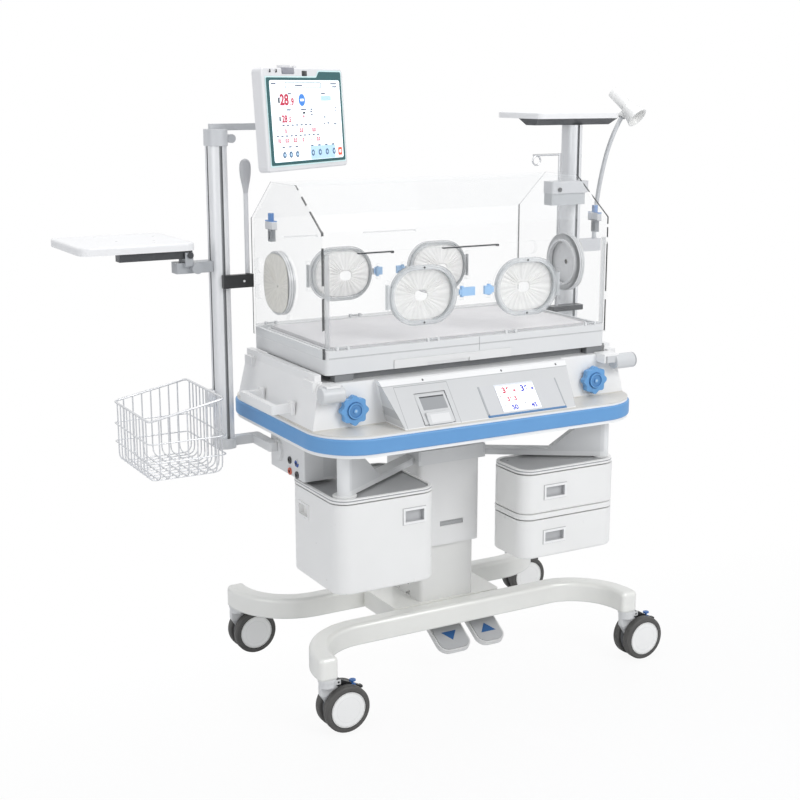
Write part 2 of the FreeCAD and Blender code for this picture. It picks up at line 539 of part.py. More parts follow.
def rightSide():
    lower = hull8(rect(412, 676, 122, 168, 1494.3), rect(404, 688, 95, 195, 1513))
    top = slab(402, 692, 85, 311, 1513, 1531, 20)
    top = rounded(top, 4.0, lambda e: all(abs(v.Point.z - 1531) < 0.1 for v in e.Vertexes))
    put("rightShelf", fuse(lower, top).cut(cyl(postX, postY, 1490, 10 + fit, 19, Z)))
    rod = cyl(rodX, rodY, 932, rodR, 484, Z)
    arm = cyl(384, rodY, 1412, 3, 99, X)
    loop = Part.makeTorus(13, 2.6, V(396, rodY, 1397), Y)
    put("ivRod", fuse(rod, arm, loop))
    start, bend, end = (652.0, 1162.0), (687.3, 1400.0), (745.0, 1519.0)
    lean = math.atan2(bend[1] - start[1], 820 - (bend[0] - start[0]))
    chord = math.atan2(end[0] - bend[0], end[1] - bend[1])
    mid1 = (start[0] + 820 * (1 - math.cos(lean / 2)), start[1] + 820 * math.sin(lean / 2))
    swing = chord - lean
    reach = math.hypot(end[0] - bend[0], end[1] - bend[1]) / (2 * math.sin(swing))
    hub = (bend[0] + reach * math.cos(lean), bend[1] - reach * math.sin(lean))
    mid2 = (hub[0] - reach * math.cos(chord), hub[1] + reach * math.sin(chord))
    path = [V(x, postY, z) for x, z in ((652, 1148), start, mid1, bend, mid2, end)]
    edges = [Part.makeLine(path[0], path[1]), Part.Arc(path[1], path[2], path[3]).toShape(),
             Part.Arc(path[3], path[4], path[5]).toShape()]
    prof = Part.Wire([Part.makeCircle(6.5, path[0], Z)])
    neck = Part.Wire(edges).makePipeShell([prof], True, True)
    ball = Part.makeSphere(9, V(745, postY, 1519))
    put("gooseneck", fuse(cyl(652, postY, 1134, 7, 26, Z), neck, ball))
    d = V(0.26, -0.71, -0.65)
    d.normalize()
    o = V(765, 100, 1512)
    top_ = o - d * 115
    barrel = Part.makeCylinder(17, 66, top_, d)
    bell = Part.makeCone(19, 33, 49, top_ + d * 66, d)
    well = Part.makeCone(15, 29, 42, top_ + d * 74, d)
    socket = Part.makeSphere(13, V(745, postY, 1519))
    head = fuse(barrel, bell.cut(well), socket)
    head = cut(head, Part.makeSphere(9 + fit, V(745, postY, 1519)),
               Part.makeCylinder(10.5, 60, V(745, postY, 1519), V(-0.5, 0, -0.86)))
    put("lampHead", head)


def deck():
    wall = box(-deckX, deckX, deckFront - 4, deckBack + 4, deckLow, deckHigh)
    wall = rounded(wall, 12, upright)
    well = slab(-deckX + 9, deckX - 9, deckFront + 6, deckBack - 6, deckLow + 26, deckHigh + 5, 10)
    slot = box(-232, 112, deckFront - 10, 200, deckLow + 3, deckLow + 22)
    foot = box(-345, 365, -188, 205, shellHigh, deckLow)
    pads = [box(-402, -350, -206, -180, shellHigh, deckLow), box(372, 424, -206, -180, shellHigh, deckLow),
            box(-402, -350, 180, 206, shellHigh, deckLow), box(372, 424, 180, 206, shellHigh, deckLow)]
    tub = fuse(wall, foot, *pads).cut(well.fuse(slot))
    lines = [box(-deckX - 1, deckX + 1, deckFront - 5, deckFront - 3.2, deckHigh - 20, deckHigh - 18.6)]
    knuckles = []
    for x in (-380, -120, 120, 380):
        knuckles.append(box(x - 18, x - 12, deckFront - 5, deckFront + 3, deckHigh - 1, flapLow + 4))
        knuckles.append(box(x + 12, x + 18, deckFront - 5, deckFront + 3, deckHigh - 1, flapLow + 4))
        knuckles.append(box(x - 18, x - 12, deckBack - 3, deckBack + 5, deckHigh - 1, flapLow + 4))
        knuckles.append(box(x + 12, x + 18, deckBack - 3, deckBack + 5, deckHigh - 1, flapLow + 4))
    pins = []
    for x in (-380, -120, 120, 380):
        for y in (deckFront - 1, deckBack + 1):
            pins.append(cyl(x - 15, y, flapLow, 2, 30, X))
    put("deckTub", fuse(cut(tub, *lines), *knuckles, *pins))
    grip = box(-140, -12, deckFront - 12, deckFront - 3, deckLow - 1, deckLow + 9)
    face = box(-236, 116, deckFront - 9, deckFront - 4.3, deckLow + 1, deckLow + 23)
    pan = cut(box(-231.7, 111.7, deckFront - 5, 192, deckLow + 3.3, deckLow + 20),
              box(-226, 106, deckFront + 3, 188, deckLow + 7, deckLow + 30))
    put("cassetteTray", fuse(face.cut(grip), pan))


def bed():
    z = deckLow + 26.3
    frame = slab(-405, 405, -192, 210, z, z + 6, 12)
    rim = slab(-405, 405, -192, 210, z, deckHigh - 4, 12).cut(slab(-397, 397, -184, 202, z - 1, deckHigh, 8))
    put("bedTray", fuse(frame, rim))
    pad = slab(-395, 395, -182, 200, z + 6.4, deckHigh + 5, 10)
    put("mattress", pad)


def hood():
    def outline(x, t=0.0):
        return [(x, deckFront + t, deckHigh - 20), (x, deckBack - t, deckHigh - 20),
                (x, deckBack - t, hoodFold - t * 0.3), (x, hoodTopBack - t * 0.3, hoodHigh - t),
                (x, hoodTopFront + t * 0.3, hoodHigh - t), (x, deckFront + t, hoodFold - t * 0.3)]

    full = plate(outline(-hoodX), (2 * hoodX, 0, 0))
    core = plate(outline(-hoodX + glass + 1, glass), (2 * hoodX - 2 * glass - 2, 0, 0))
    under = box(-hoodX + glass + 1, hoodX - glass - 1, deckFront - 5, deckBack + 5, deckHigh - 30, deckHigh + 1)
    doors = box(-hoodX + 7, hoodX - 7, deckFront - 5, deckFront + 8, deckHigh - 10, flapHigh + 1)
    rear = box(-hoodX + 7, hoodX - 7, deckBack - 8, deckBack + 5, deckHigh - 10, flapHigh + 1)
    holes = [cyl(s * hoodX - 20, irisY, irisZ, irisR - 16, 40, X) for s in (-1, 1)]
    body = cut(full, core, under, doors, rear, box(-deckX - 0.2, deckX + 0.2, -300, 300, deckHigh - 30, deckHigh + 0.3),
               *holes)
    extra = []
    for s in (-1, 1):
        x = s * hoodX
        x0 = x if s > 0 else x - 9
        extra.append(ring(x0 - (0.1 if s > 0 else -0.1), irisY, irisZ, irisR - 2, irisR - 16, 9, X))
        for z in (irisZ + 28, irisZ - 42):
            extra.append(cyl(x if s > 0 else x - 12, 165, z, 20, 12, X))
        y = 78 if s < 0 else -134
        a, b = sorted((x, x + s * 14))
        extra.append(box(a, b, y - 22, y + 22, 1243, 1266))
        extra.append(slab(a, b, y - 8, y + 8, 1266, 1285, 6))
        extra.append(box(a, b, y - 12, y + 6, 1212, 1243).cut(box(a - 1, b + 1, y - 7, y + 1, 1218, 1238)))
        extra.append(box(min(x, x + s * 10), max(x, x + s * 10), -30, -14, irisZ - irisR - 12, irisZ - irisR + 2)
                     if s < 0 else box(x, x + 10, -200, -176, 940, 1188))
    put("hoodShell", fuse(body, *extra))


def portSet(tag, xc, front, hinge):
    """Door and latch of one port; hinge is -1 for a hinge on the left."""
    wall = deckFront
    rim = oval(xc, portZ, portW + 22, portH + 22, wall - 9, wall - 21)
    rim = rim.cut(oval(xc, portZ, portW + 15, portH + 15, wall - 8, wall - 18))
    hx = xc + hinge * (portW / 2 + 17)
    barrel = cyl(hx, wall - 13, portZ - 31, 5, 62, Z)
    strap = box(min(hx, xc + hinge * (portW / 2 + 8)), max(hx, xc + hinge * (portW / 2 + 8)),
                wall - 17, wall - 11, portZ - 30, portZ + 30)
    catch = box(xc - hinge * (portW / 2 + 14) - 4, xc - hinge * (portW / 2 + 14) + 4, wall - 17, wall - 11,
                portZ - 9, portZ + 9)
    door = fuse(rim, barrel, strap, catch).cut(cyl(hx, wall - 13, portZ - 40, 2.5 + fit, 80, Z))
    lx = xc - hinge * (portW / 2 + 25)
    end = lx - hinge * (40 if front and xc < 0 else 22)
    lever = box(min(lx, end), max(lx, end), wall - 21, wall - 13, portZ - 11, portZ + 11)
    hook = box(min(lx, lx + hinge * 6), max(lx, lx + hinge * 6), wall - 20, wall - 15, portZ - 7, portZ + 7)
    pivot = cyl(lx - hinge * 5, wall - 12, portZ - 14, 5, 28, Z)
    latch = fuse(lever, hook, pivot).cut(cyl(lx - hinge * 5, wall - 12, portZ - 20, 2 + fit, 40, Z))
    if not front:
        mid = (deckFront + deckBack) / 2
        door, latch = flipY(door, mid), flipY(latch, mid)
    put("portDoor" + tag, door)
    put("latch" + tag, latch)


def flap(front):
    wall = deckFront
    body = box(-hoodX + 7.4, hoodX - 7.4, wall, wall + glass, flapLow - 3, flapHigh)
    adds, cuts, cuffs = [], [], []
    for xc, hinge in ((-portX, -1), (portX, 1)):
        adds.append(oval(xc, portZ, portW + 12, portH + 12, wall - 15, wall + glass + 4))
        cuts.append(oval(xc, portZ, portW, portH, wall - 20, wall + 20))
        hx = xc + hinge * (portW / 2 + 17)
        for z in (portZ - 42, portZ + 32):
            adds.append(box(hx - 6, hx + 6, wall - 18, wall + 1, z, z + 10))
        adds.append(cyl(hx, wall - 13, portZ - 36, 2.5, 72, Z))
        lx = xc - hinge * (portW / 2 + 30)
        for z in (portZ - 22, portZ + 15):
            adds.append(box(lx - 5, lx + 5, wall - 15, wall + 1, z, z + 7))
        adds.append(cyl(lx, wall - 12, portZ - 18, 2, 36, Z))
        ringOut = oval(xc, portZ, portW - 0.6, portH - 0.6, wall - 8, wall - 6)
        cuffs.append(ringOut.cut(cyl(xc + 6, wall - 12, portZ - 4, 15, 12, Y)))
    for x in (-380, -120, 120, 380):
        adds.append(box(x - 11, x + 11, wall - 4, wall + 3, flapLow - 3, flapLow + 5))
        cuts.append(cyl(x - 16, wall - 1, flapLow, 2 + fit, 32, X))
        for s in (-1, 1):
            cuts.append(box(x + s * 15 - 4, x + s * 15 + 4, wall - 8, wall + 8, flapLow - 10, flapLow + 5.5))
    for x0, x1 in ((-334, -236), (-91, 76)):
        adds.append(box(x0, x1, wall - 5, wall + 1, flapHigh - 5, flapHigh))
    body = fuse(body, *adds).cut(cuts[0].fuse(cuts[1:]))
    if not front:
        mid = (deckFront + deckBack) / 2
        body = flipY(body, mid)
        cuffs = [flipY(c, mid) for c in cuffs]
    put("frontPanel" if front else "rearPanel", body)
    put("frontCuffs" if front else "rearCuffs", *cuffs)


def iris(tag, s):
    x = s * (hoodX + 9.2)
    x0 = x if s > 0 else x - 16
    band = ring(x0, irisY, irisZ, irisR, irisR - 12, 16, X)
    lipX = x + s * 10 if s > 0 else x - 16
    cuff = ring(lipX + (0 if s > 0 else 2), irisY, irisZ, irisR - 6, 7, 2.5, X)
    hub = ring(x - s * 8.8 if s > 0 else x - 0.3, irisY, irisZ, irisR - 16 - fit, irisR - 22, 9.2, X)
    web = ring(x if s > 0 else x - 3, irisY, irisZ, irisR - 4, irisR - 22, 3, X)
    put("iris" + tag, fuse(band, cuff, hub, web))


def knob(tag, s):
    pts = []
    n = 64
    for i in range(n):
        a = 2 * math.pi * i / n
        r = knobR - 3.2 + 3.2 * math.cos(8 * a)
        pts.append((s * knobX + r * math.cos(a), -237, knobZ + r * math.sin(a)))
    disc = plate(pts, (0, -17, 0))
    well = ring(s * knobX, -255, knobZ, 22, 17, 4, Y)
    dome = cyl(s * knobX, -259, knobZ, 20, 6, Y).cut(ring(s * knobX, -260, knobZ, 17, 6, 4, Y))
    shaft = cyl(s * knobX, -240, knobZ, 6, 30, Y)
    put("knob" + tag, fuse(disc.cut(well), dome, shaft))


def lid(x0, x1, y0, y1, z0, z1, back):
    top = slab(x0, x1, y0, y1, z0, z1, 45)
    top = rounded(top, 3.0, lambda e: all(abs(v.Point.z - z1) < 0.1 for v in e.Vertexes))
    dip = slab(x0 + 9, x1 - 9, y0 + 9, y1 - 9, z1 - 4, z1 + 1, 36)
    top = top.cut(dip)
    spine = box(x0 + 40, x1 - 40, y1 - 1.5, y1 + 10, back, z0 + 5)
    return top, spine


def grip(x0, x1, z0, z1, y):
    frame = box(x0, x1, y - 2.5, y + 1, z0, z1).cut(box(x0 + 6, x1 - 6, y - 4, y + 2, z0 + 6, z1 - 6))
    return frame, box(x0 + 6, x1 - 6, y - 4, y + 11, z0 + 6, z1 - 6)


def tub(x0, x1, y0, y1, z0, z1, r, side=5):
    body = slab(x0, x1, y0, y1, z0, z1, r)
    body = rounded(body, 8, lambda e: all(abs(v.Point.z - z0) < 0.1 for v in e.Vertexes))
    return body.cut(slab(x0 + side, x1 - 5, y0 + 14, y1 - 3, z0 + 5, z1 + 1, max(r - 5, 3)))


def cabinets():
    hole = cyl(-tubeX, tubeY, 560, tubeR + fit, 60, Z)
    top, spine = lid(-445, -154, -295, -14, 594, lidZ, binLow - 7)
    flange = ring(-tubeX, tubeY, lidZ - 5, 31, tubeR + fit, 6, Z)
    floor = box(-400, -200, -260, -10, binLow - 7, binLow - 0.3)
    put("cabinetL", fuse(top, spine, flange, floor).cut(hole))
    body = tub(-445, -154, -295, -16, binLow, 590.5, 45, 14)
    frame, well = grip(-257, -190, 517, 559, -295)
    sideFrame, sideWell = grip(-160, -98, 514, 554, 0)
    for g in (sideFrame, sideWell):
        g.rotate(V(0, 0, 0), Z, -90)
    sideFrame.translate(V(-445, -234, 0))
    sideWell.translate(V(-445, -234, 0))
    put("drawerL", cut(fuse(body, frame, sideFrame), well, sideWell))
    hole = cyl(tubeX, tubeY, 560, tubeR + fit, 60, Z)
    top, spine = lid(110, 424, -295, -130, 594, lidZ, binLow - 7)
    flange = ring(tubeX, tubeY, lidZ - 5, 24, tubeR + fit, 6, Z)
    band = slab(110, 424, -295, -130, 467, 480.7, 40)
    floor = box(150, 380, -260, -125, binLow - 7, binLow - 0.3)
    put("cabinetR", fuse(top, spine, flange, band, floor).cut(hole))
    for tag, z0, z1, g0, g1 in (("Upper", 481, 590.5, 519, 559), ("Lower", binLow, 463.5, 394, 432)):
        body = tub(110, 424, -295, -132, z0, z1, 40)
        frame, well = grip(178, 251, g0, g1, -295)
        put("drawer" + tag, fuse(body, frame).cut(well))


base()
for tag, sx, sy in (("FL", -1, -1), ("FR", 1, -1), ("RL", -1, 1), ("RR", 1, 1)):
    castor(tag, sx, sy)
pedal("Down", -48, 55, False)
pedal("Up", 78, 168, True)
column()
slope = shell()
controls(slope)
posts()
underframe()
basket()
fittings()
trayArm()
monitor()
rightSide()
deck()
bed()
hood()
for tag, xc, front, hinge in (("FL", -portX, True, -1), ("FR", portX, True, 1),
                              ("RL", -portX, False, -1), ("RR", portX, False, 1)):
    portSet(tag, xc, front, hinge)
flap(True)
flap(False)
iris("Left", -1)
iris("Right", 1)
knob("Left", -1)
knob("Right", 1)
cabinets()
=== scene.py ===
import bpy, bmesh, math, random
from mathutils import Vector, Matrix


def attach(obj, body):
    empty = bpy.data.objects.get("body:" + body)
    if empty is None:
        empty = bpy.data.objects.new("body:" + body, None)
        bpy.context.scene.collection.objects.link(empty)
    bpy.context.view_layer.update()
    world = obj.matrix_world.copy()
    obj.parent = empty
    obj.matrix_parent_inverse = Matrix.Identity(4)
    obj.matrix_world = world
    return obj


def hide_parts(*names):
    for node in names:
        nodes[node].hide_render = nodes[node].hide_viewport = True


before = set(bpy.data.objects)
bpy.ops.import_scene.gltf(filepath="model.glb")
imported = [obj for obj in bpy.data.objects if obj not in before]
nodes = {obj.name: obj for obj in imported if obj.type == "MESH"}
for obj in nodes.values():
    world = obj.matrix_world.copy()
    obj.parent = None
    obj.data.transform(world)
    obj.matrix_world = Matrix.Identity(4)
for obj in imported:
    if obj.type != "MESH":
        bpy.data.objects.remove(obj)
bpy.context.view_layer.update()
random.seed(11)

# The trolley's own centre on the floor, in mm.
# Every place below is measured from it, x to the right, y to the back.
trolley = {"x": -69.07, "y": 29.5}


def at(x, y, z):
    return Vector(((x - trolley["x"]) / 1000, (y - trolley["y"]) / 1000, z / 1000))


# camera, lamps and sky

view = {"place": (-1896.0, -3207.4, 1606.6), "turn": (1.3462, 0.0, -0.5102), "lens": 61.98}
cameraData = bpy.data.cameras.new("photoCamera")
cameraData.lens = view["lens"]
cameraData.sensor_width = 36
camera = bpy.data.objects.new("photoCamera", cameraData)
camera.location = at(*view["place"])
camera.rotation_euler = view["turn"]
bpy.context.scene.collection.objects.link(camera)
bpy.context.scene.camera = camera
bpy.context.scene.view_settings.view_transform = "Standard"


def softLamp(name, place, aim, size, power, colour=(1, 1, 1)):
    data = bpy.data.lights.new(name, "AREA")
    data.shape, data.size, data.energy, data.color = "DISK", size, power, colour
    lamp = bpy.data.objects.new(name, data)
    lamp.location = Vector(place)
    lamp.rotation_euler = (Vector(aim) - Vector(place)).to_track_quat("-Z", "Y").to_euler()
    bpy.context.scene.collection.objects.link(lamp)


lights = {"key": 66, "fill": 14, "top": 36, "world": 0.56}
softLamp("keyLamp", (1.2, -3.4, 3.0), (0.1, 0, 0.8), 2.2, lights["key"])
softLamp("fillLamp", (-3.2, -1.0, 1.6), (0, 0, 0.8), 2.0, lights["fill"])
softLamp("topLamp", (0.2, 0.6, 3.8), (0, 0, 0.8), 2.4, lights["top"])

world = bpy.data.worlds.new("studioSky")
bpy.context.scene.world = world
world.use_nodes = True
sky = world.node_tree
sky.nodes.clear()
rays = sky.nodes.new("ShaderNodeLightPath")
seen = sky.nodes.new("ShaderNodeMath")
seen.operation = "MAXIMUM"
glossOrGlass = sky.nodes.new("ShaderNodeMath")
glossOrGlass.operation = "MAXIMUM"
sky.links.new(rays.outputs["Is Glossy Ray"], glossOrGlass.inputs[0])
sky.links.new(rays.outputs["Is Transmission Ray"], glossOrGlass.inputs[1])
sky.links.new(rays.outputs["Is Camera Ray"], seen.inputs[0])
sky.links.new(glossOrGlass.outputs[0], seen.inputs[1])
plain = sky.nodes.new("ShaderNodeBackground")
plain.inputs["Color"].default_value = (0.93, 0.95, 1.0, 1)
plain.inputs["Strength"].default_value = lights["world"]
white = sky.nodes.new("ShaderNodeBackground")
white.inputs["Color"].default_value = (1, 1, 1, 1)
white.inputs["Strength"].default_value = 1.0
pick = sky.nodes.new("ShaderNodeMixShader")
skyOut = sky.nodes.new("ShaderNodeOutputWorld")
sky.links.new(seen.outputs[0], pick.inputs[0])
sky.links.new(plain.outputs[0], pick.inputs[1])
sky.links.new(white.outputs[0], pick.inputs[2])
sky.links.new(pick.outputs[0], skyOut.inputs[0])
print("stage: camera and lamps")


# shader maths

class Wire:
    def __init__(self, paint, socket):
        self.paint, self.socket = paint, socket

    def __add__(self, other):
        return self.paint.maths("ADD", self, other)

    def __sub__(self, other):
        return self.paint.maths("SUBTRACT", self, other)

    def __rsub__(self, other):
        return self.paint.maths("SUBTRACT", other, self)

    def __mul__(self, other):
        return self.paint.maths("MULTIPLY", self, other)

    def __truediv__(self, other):
        return self.paint.maths("DIVIDE", self, other)

    def __gt__(self, other):
        return self.paint.maths("GREATER_THAN", self, other)

    def __lt__(self, other):
        return self.paint.maths("LESS_THAN", self, other)

    def __abs__(self):
        return self.paint.maths("ABSOLUTE", self)

    __radd__ = __add__
    __rmul__ = __mul__


class Paint:
    def __init__(self, name, colour=(0.8, 0.8, 0.8), **fixed):
        self.material = bpy.data.materials.new(name)
        self.material.use_nodes = True
        self.tree = self.material.node_tree
        self.shader = self.tree.nodes["Principled BSDF"]
        self.shader.inputs["Base Color"].default_value = (*colour, 1)
        for key, value in fixed.items():
            self.shader.inputs[key.replace("_", " ")].default_value = value
        place = self.node("TexCoord", out="Object")
        self.place = place
        split = self.tree.nodes.new("ShaderNodeSeparateXYZ")
        self.tree.links.new(place.socket, split.inputs[0])
        x, y, z = [Wire(self, s) for s in split.outputs]
        self.x = x * 1000 + trolley["x"]
        self.y = y * 1000 + trolley["y"]
        self.z = z * 1000

    def node(self, kind, settings=None, values=None, out=0):
        made = self.tree.nodes.new("ShaderNode" + kind)
        for key, value in (settings or {}).items():
            if key == "stops":
                ramp = made.color_ramp
                while len(ramp.elements) < len(value):
                    ramp.elements.new(0.5)
                for element, (spot, colour) in zip(ramp.elements, value):
                    element.position, element.color = spot, (*colour, 1)
            else:
                setattr(made, key, value)
        for key, value in (values or {}).items():
            self.feed(made.inputs[key], value)
        return Wire(self, made.outputs[out])

    def feed(self, socket, value):
        if isinstance(value, Wire):
            self.tree.links.new(value.socket, socket)
        elif isinstance(value, tuple) and len(value) == 3 and socket.type == "RGBA":
            socket.default_value = (*value, 1)
        else:
            socket.default_value = value

    def maths(self, kind, a, b=None):
        return self.node("Math", {"operation": kind}, {0: a} if b is None else {0: a, 1: b})

    def both(self, *masks):
        result = masks[0]
        for mask in masks[1:]:
            result = result * mask
        return result

    def either(self, *masks):
        result = masks[0]
        for mask in masks[1:]:
            result = self.maths("MAXIMUM", result, mask)
        return result

    def between(self, value, low, high):
        return (value > low) * (value < high)

    def within(self, x=None, y=None, z=None):
        parts = [self.between(v, *r) for v, r in ((self.x, x), (self.y, y), (self.z, z)) if r]
        return self.both(*parts)

    def mix(self, mask, a, b):
        return self.node("Mix", {"data_type": "RGBA"}, {0: mask, 6: a, 7: b}, out=2)

    def noise(self, scale, detail=2.0, stretch=None, rough=0.5):
        vector = self.place
        if stretch:
            vector = self.node("Mapping", {}, {"Vector": self.place, "Scale": stretch})
        values = {"Vector": vector, "Scale": scale, "Detail": detail, "Roughness": rough}
        return self.node("TexNoise", {}, values)

    def radius(self, a, b, aMid, bMid):
        return self.maths("SQRT", (a - aMid) * (a - aMid) + (b - bMid) * (b - bMid))

    def set(self, **inputs):
        for key, value in inputs.items():
            self.feed(self.shader.inputs[key.replace("_", " ")], value)
        return self

    def relief(self, height, strength=0.2, distance=0.0005):
        bump = self.node("Bump", {}, {"Height": height, "Strength": strength, "Distance": distance})
        return self.set(Normal=bump)


def shade(colour, factor):
    return tuple(min(1.0, c * factor) for c in colour)


def hexColour(code):
    values = [int(code[i:i + 2], 16) / 255 for i in (0, 2, 4)]
    return tuple(v / 12.92 if v <= 0.04045 else ((v + 0.055) / 1.055) ** 2.4 for v in values)


def moulded(name, code, rough=0.38, grain=900.0, coat=0.15, depth=0.05):
    colour = hexColour(code)
    paint = Paint(name, colour, Coat_Weight=coat, Coat_Roughness=0.25)
    cloud = paint.noise(6.0, 3.0)
    paint.colour = paint.mix(cloud, shade(colour, 0.965), shade(colour, 1.025))
    paint.set(Base_Color=paint.colour, Roughness=paint.noise(40.0, 3.0) * 0.12 + (rough - 0.06))
    paint.relief(paint.noise(grain, 2.0), depth, 0.0003)
    return paint


def wear(node, paint):
    mesh = nodes[node].data
    mesh.materials.clear()
    mesh.materials.append(paint.material)


print("stage: shader tools")

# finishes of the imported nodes

castors = {"FL": (-476, -292.5), "FR": (476, -292.5), "RL": (-476, 292.5), "RR": (476, 292.5)}
wheels = {"trail": 43.4, "axle": 62.5, "cap": 72}
port = {"x": 157, "z": 1090, "straight": 23.6, "upright": 2.6, "round": 62.4}
iris = {"y": 10.7, "z": 1112, "face": 460.6}
postY = 145
tones = {"shell": "f5f5f4", "bins": "efefed", "blue": "4f93d2", "knob": "6ba6dc", "latch": "a6cdf2",
         "tyre": "4a4947"}


def paintLegs():
    colour = hexColour("edede8")
    paint = Paint("pearlCoat", colour, Coat_Weight=0.35, Coat_Roughness=0.18)
    cloud = paint.noise(9.0, 4.0)
    fleck = paint.noise(2400.0, 1.0)
    paint.colour = paint.mix(cloud, shade(colour, 0.95), shade(colour, 1.03))
    # painted shade: the undersides of the legs are darkened
    undersideShade = paint.z < 150
    paint.colour = paint.mix(undersideShade * 0.35, paint.colour, hexColour("b9bcb8"))
    paint.set(Base_Color=paint.mix(fleck * 0.12, paint.colour, hexColour("ffffff")),
              Roughness=paint.noise(60.0, 2.0) * 0.14 + 0.26, Metallic=0.12)
    return paint.relief(paint.noise(1500.0, 2.0), 0.06, 0.0002)


wear("legFrame", paintLegs())

columnPaint = moulded("columnCoat", "e2e2df", 0.4)
triangle = columnPaint.both(columnPaint.x < -80, columnPaint.within(z=(176, 196), y=(-32, 0)))
screws = columnPaint.radius(columnPaint.y, columnPaint.z, -20, 240) < 2.6
columnPaint.set(Base_Color=columnPaint.mix(columnPaint.either(triangle, screws * (columnPaint.x < -80)),
                                           columnPaint.colour, hexColour("222222")))
wear("columnInner", columnPaint)

sleevePaint = moulded("coverShell", "e6e6e5", 0.36)
slotMask = sleevePaint.both(sleevePaint.within(x=(-31, 44), z=(421, 436)), sleevePaint.y < -96)
sleevePaint.set(Base_Color=sleevePaint.mix(slotMask, sleevePaint.colour, hexColour("a9aaab")))
wear("columnCover", sleevePaint)


def paintHousing():
    paint = moulded("housingShell", tones["shell"], 0.34)
    shelf = paint.both(paint.z > 771, paint.z < 776.5)
    drop = (872 - paint.z) * 0.295
    middle = paint.both(paint.x + 300 - drop > 0, paint.x - 272 + drop < 0,
                        paint.z > 778, paint.z < 873, paint.y < -236)
    pale = paint.mix(middle, paint.colour, hexColour("d3d4d4"))
    tray = paint.mix(shelf, pale, hexColour("dcd9d2"))
    # a fine shadow line where the middle of the front meets each pod
    seam = paint.either(abs(paint.x + 300 - drop) < 1.1, abs(paint.x - 272 + drop) < 1.1) * (paint.z < 872)
    lines = paint.either(seam * (paint.y < -232) * (paint.z > 780),
                         paint.between(paint.z, 871, 872.2) * (paint.y < -230) * paint.within(x=(-300, 272)))
    window = paint.both(paint.within(x=(-266, -110), z=(776, 869)), paint.y < -250,
                        1 - paint.within(x=(-264.6, -111.4), z=(770, 867.5)))
    pins = [paint.radius(paint.x, paint.z, x, 878) < 2.6 for x in (-176, 62, 236)]
    dots = paint.either(*pins) * (paint.y < -230)
    barrels = paint.both(abs(paint.x) > 396, paint.radius(paint.y, paint.z, -250, 866) < 22.5)
    rim = paint.both(barrels, paint.either(abs(paint.x) < 402, abs(paint.x) > 492))
    colour = paint.mix(lines * 0.45, tray, hexColour("8d8e8f"))
    colour = paint.mix(window * 0.55, colour, hexColour("7f8081"))
    colour = paint.mix(dots, colour, hexColour("5b5c5e"))
    colour = paint.mix(barrels, colour, hexColour("d3d5d6"))
    colour = paint.mix(rim, colour, hexColour("a9abad"))
    return paint.set(Base_Color=colour)


wear("housing", paintHousing())

bumperPaint = Paint("blueBumper", hexColour(tones["blue"]), Coat_Weight=0.1)
blueCloud = bumperPaint.noise(8.0, 3.0)
bumperPaint.set(Base_Color=bumperPaint.mix(blueCloud, hexColour("5f98cf"), hexColour("6ca4d8")),
                Roughness=bumperPaint.noise(80.0, 2.0) * 0.15 + 0.4)
bumperPaint.relief(bumperPaint.noise(1300.0, 3.0), 0.12, 0.0003)
wear("bumper", bumperPaint)


def paintPanel():
    paint = moulded("panelFace", "d3d4d5", 0.3, coat=0.3)
    strip = paint.z < 783.5
    edge = paint.either(paint.x < -22.6, paint.x > 212.6, paint.z > 852.8)
    bezel = paint.both(paint.within(x=(21, 141)), paint.z > 786)
    colour = paint.mix(edge * 0.7, paint.colour, hexColour("9b9fa3"))
    colour = paint.mix(bezel, colour, hexColour("e9edf2"))
    return paint.set(Base_Color=paint.mix(strip, colour, hexColour("5b87b4")))


wear("controlPanel", paintPanel())


def brushed(name, code, rough=0.3, along="z", metal=0.85, lines=0.12):
    colour = hexColour(code)
    paint = Paint(name, colour, Metallic=metal)
    stretch = {"x": (0.02, 1, 1), "y": (1, 0.02, 1), "z": (1, 1, 0.02)}[along]
    streak = paint.noise(1400.0, 3.0, stretch)
    paint.colour = paint.mix(streak, shade(colour, 1 - lines), shade(colour, 1 + lines * 0.5))
    paint.set(Base_Color=paint.colour, Roughness=streak * 0.16 + (rough - 0.08))
    return paint.relief(streak, 0.08, 0.0002)


postPaint = brushed("postAluminium", "eff0f1", 0.36, metal=0.2)
# painted shade: the grooves down each post are darkened
facing = postPaint.both(postPaint.between(abs(abs(postPaint.x) - 560), -1, 4.4),
                        abs(postPaint.y - postY) > 25.5, abs(postPaint.y - postY) < 32.9)
outward = postPaint.both(abs(postPaint.y - postY) < 4.4, abs(postPaint.x) > 577, abs(postPaint.x) < 583.8)
grooveShade = postPaint.either(facing, outward)
postPaint.set(Base_Color=postPaint.mix(grooveShade * 0.7, postPaint.colour, hexColour("6d7073")))
wear("posts", postPaint)


def paintUnderframe():
    paint = moulded("underframeCoat", "dcdddd", 0.36, coat=0.2)
    tubes = paint.radius(abs(paint.x), paint.y, 400, -250) < 19.6
    colour = paint.mix(tubes, paint.colour, hexColour("e6e7e7"))
    # painted shade: the web under the housing and bumper is darkened where they shade it
    webShade = paint.both(abs(paint.x) < 395, abs(paint.x) > 99, paint.between(paint.z, 619, 700), paint.y < -42)
    colour = paint.mix(webShade * 0.3, colour, hexColour("b4b6b8"))
    inBox = paint.x < -449.5
    sockets = ((-35, 652, "1d1e20"), (-78, 652, "274e9c"), (-35, 622, "c8502c"), (-78, 622, "3b3c3e"))
    for y, z, code in sockets:
        away = paint.radius(paint.y, paint.z, y, z)
        colour = paint.mix((away < 9.8) * inBox, colour, hexColour(code))
        colour = paint.mix((away < 4.6) * inBox, colour, hexColour("0c0c0d"))
    return paint.set(Base_Color=colour)


wear("underframe", paintUnderframe())


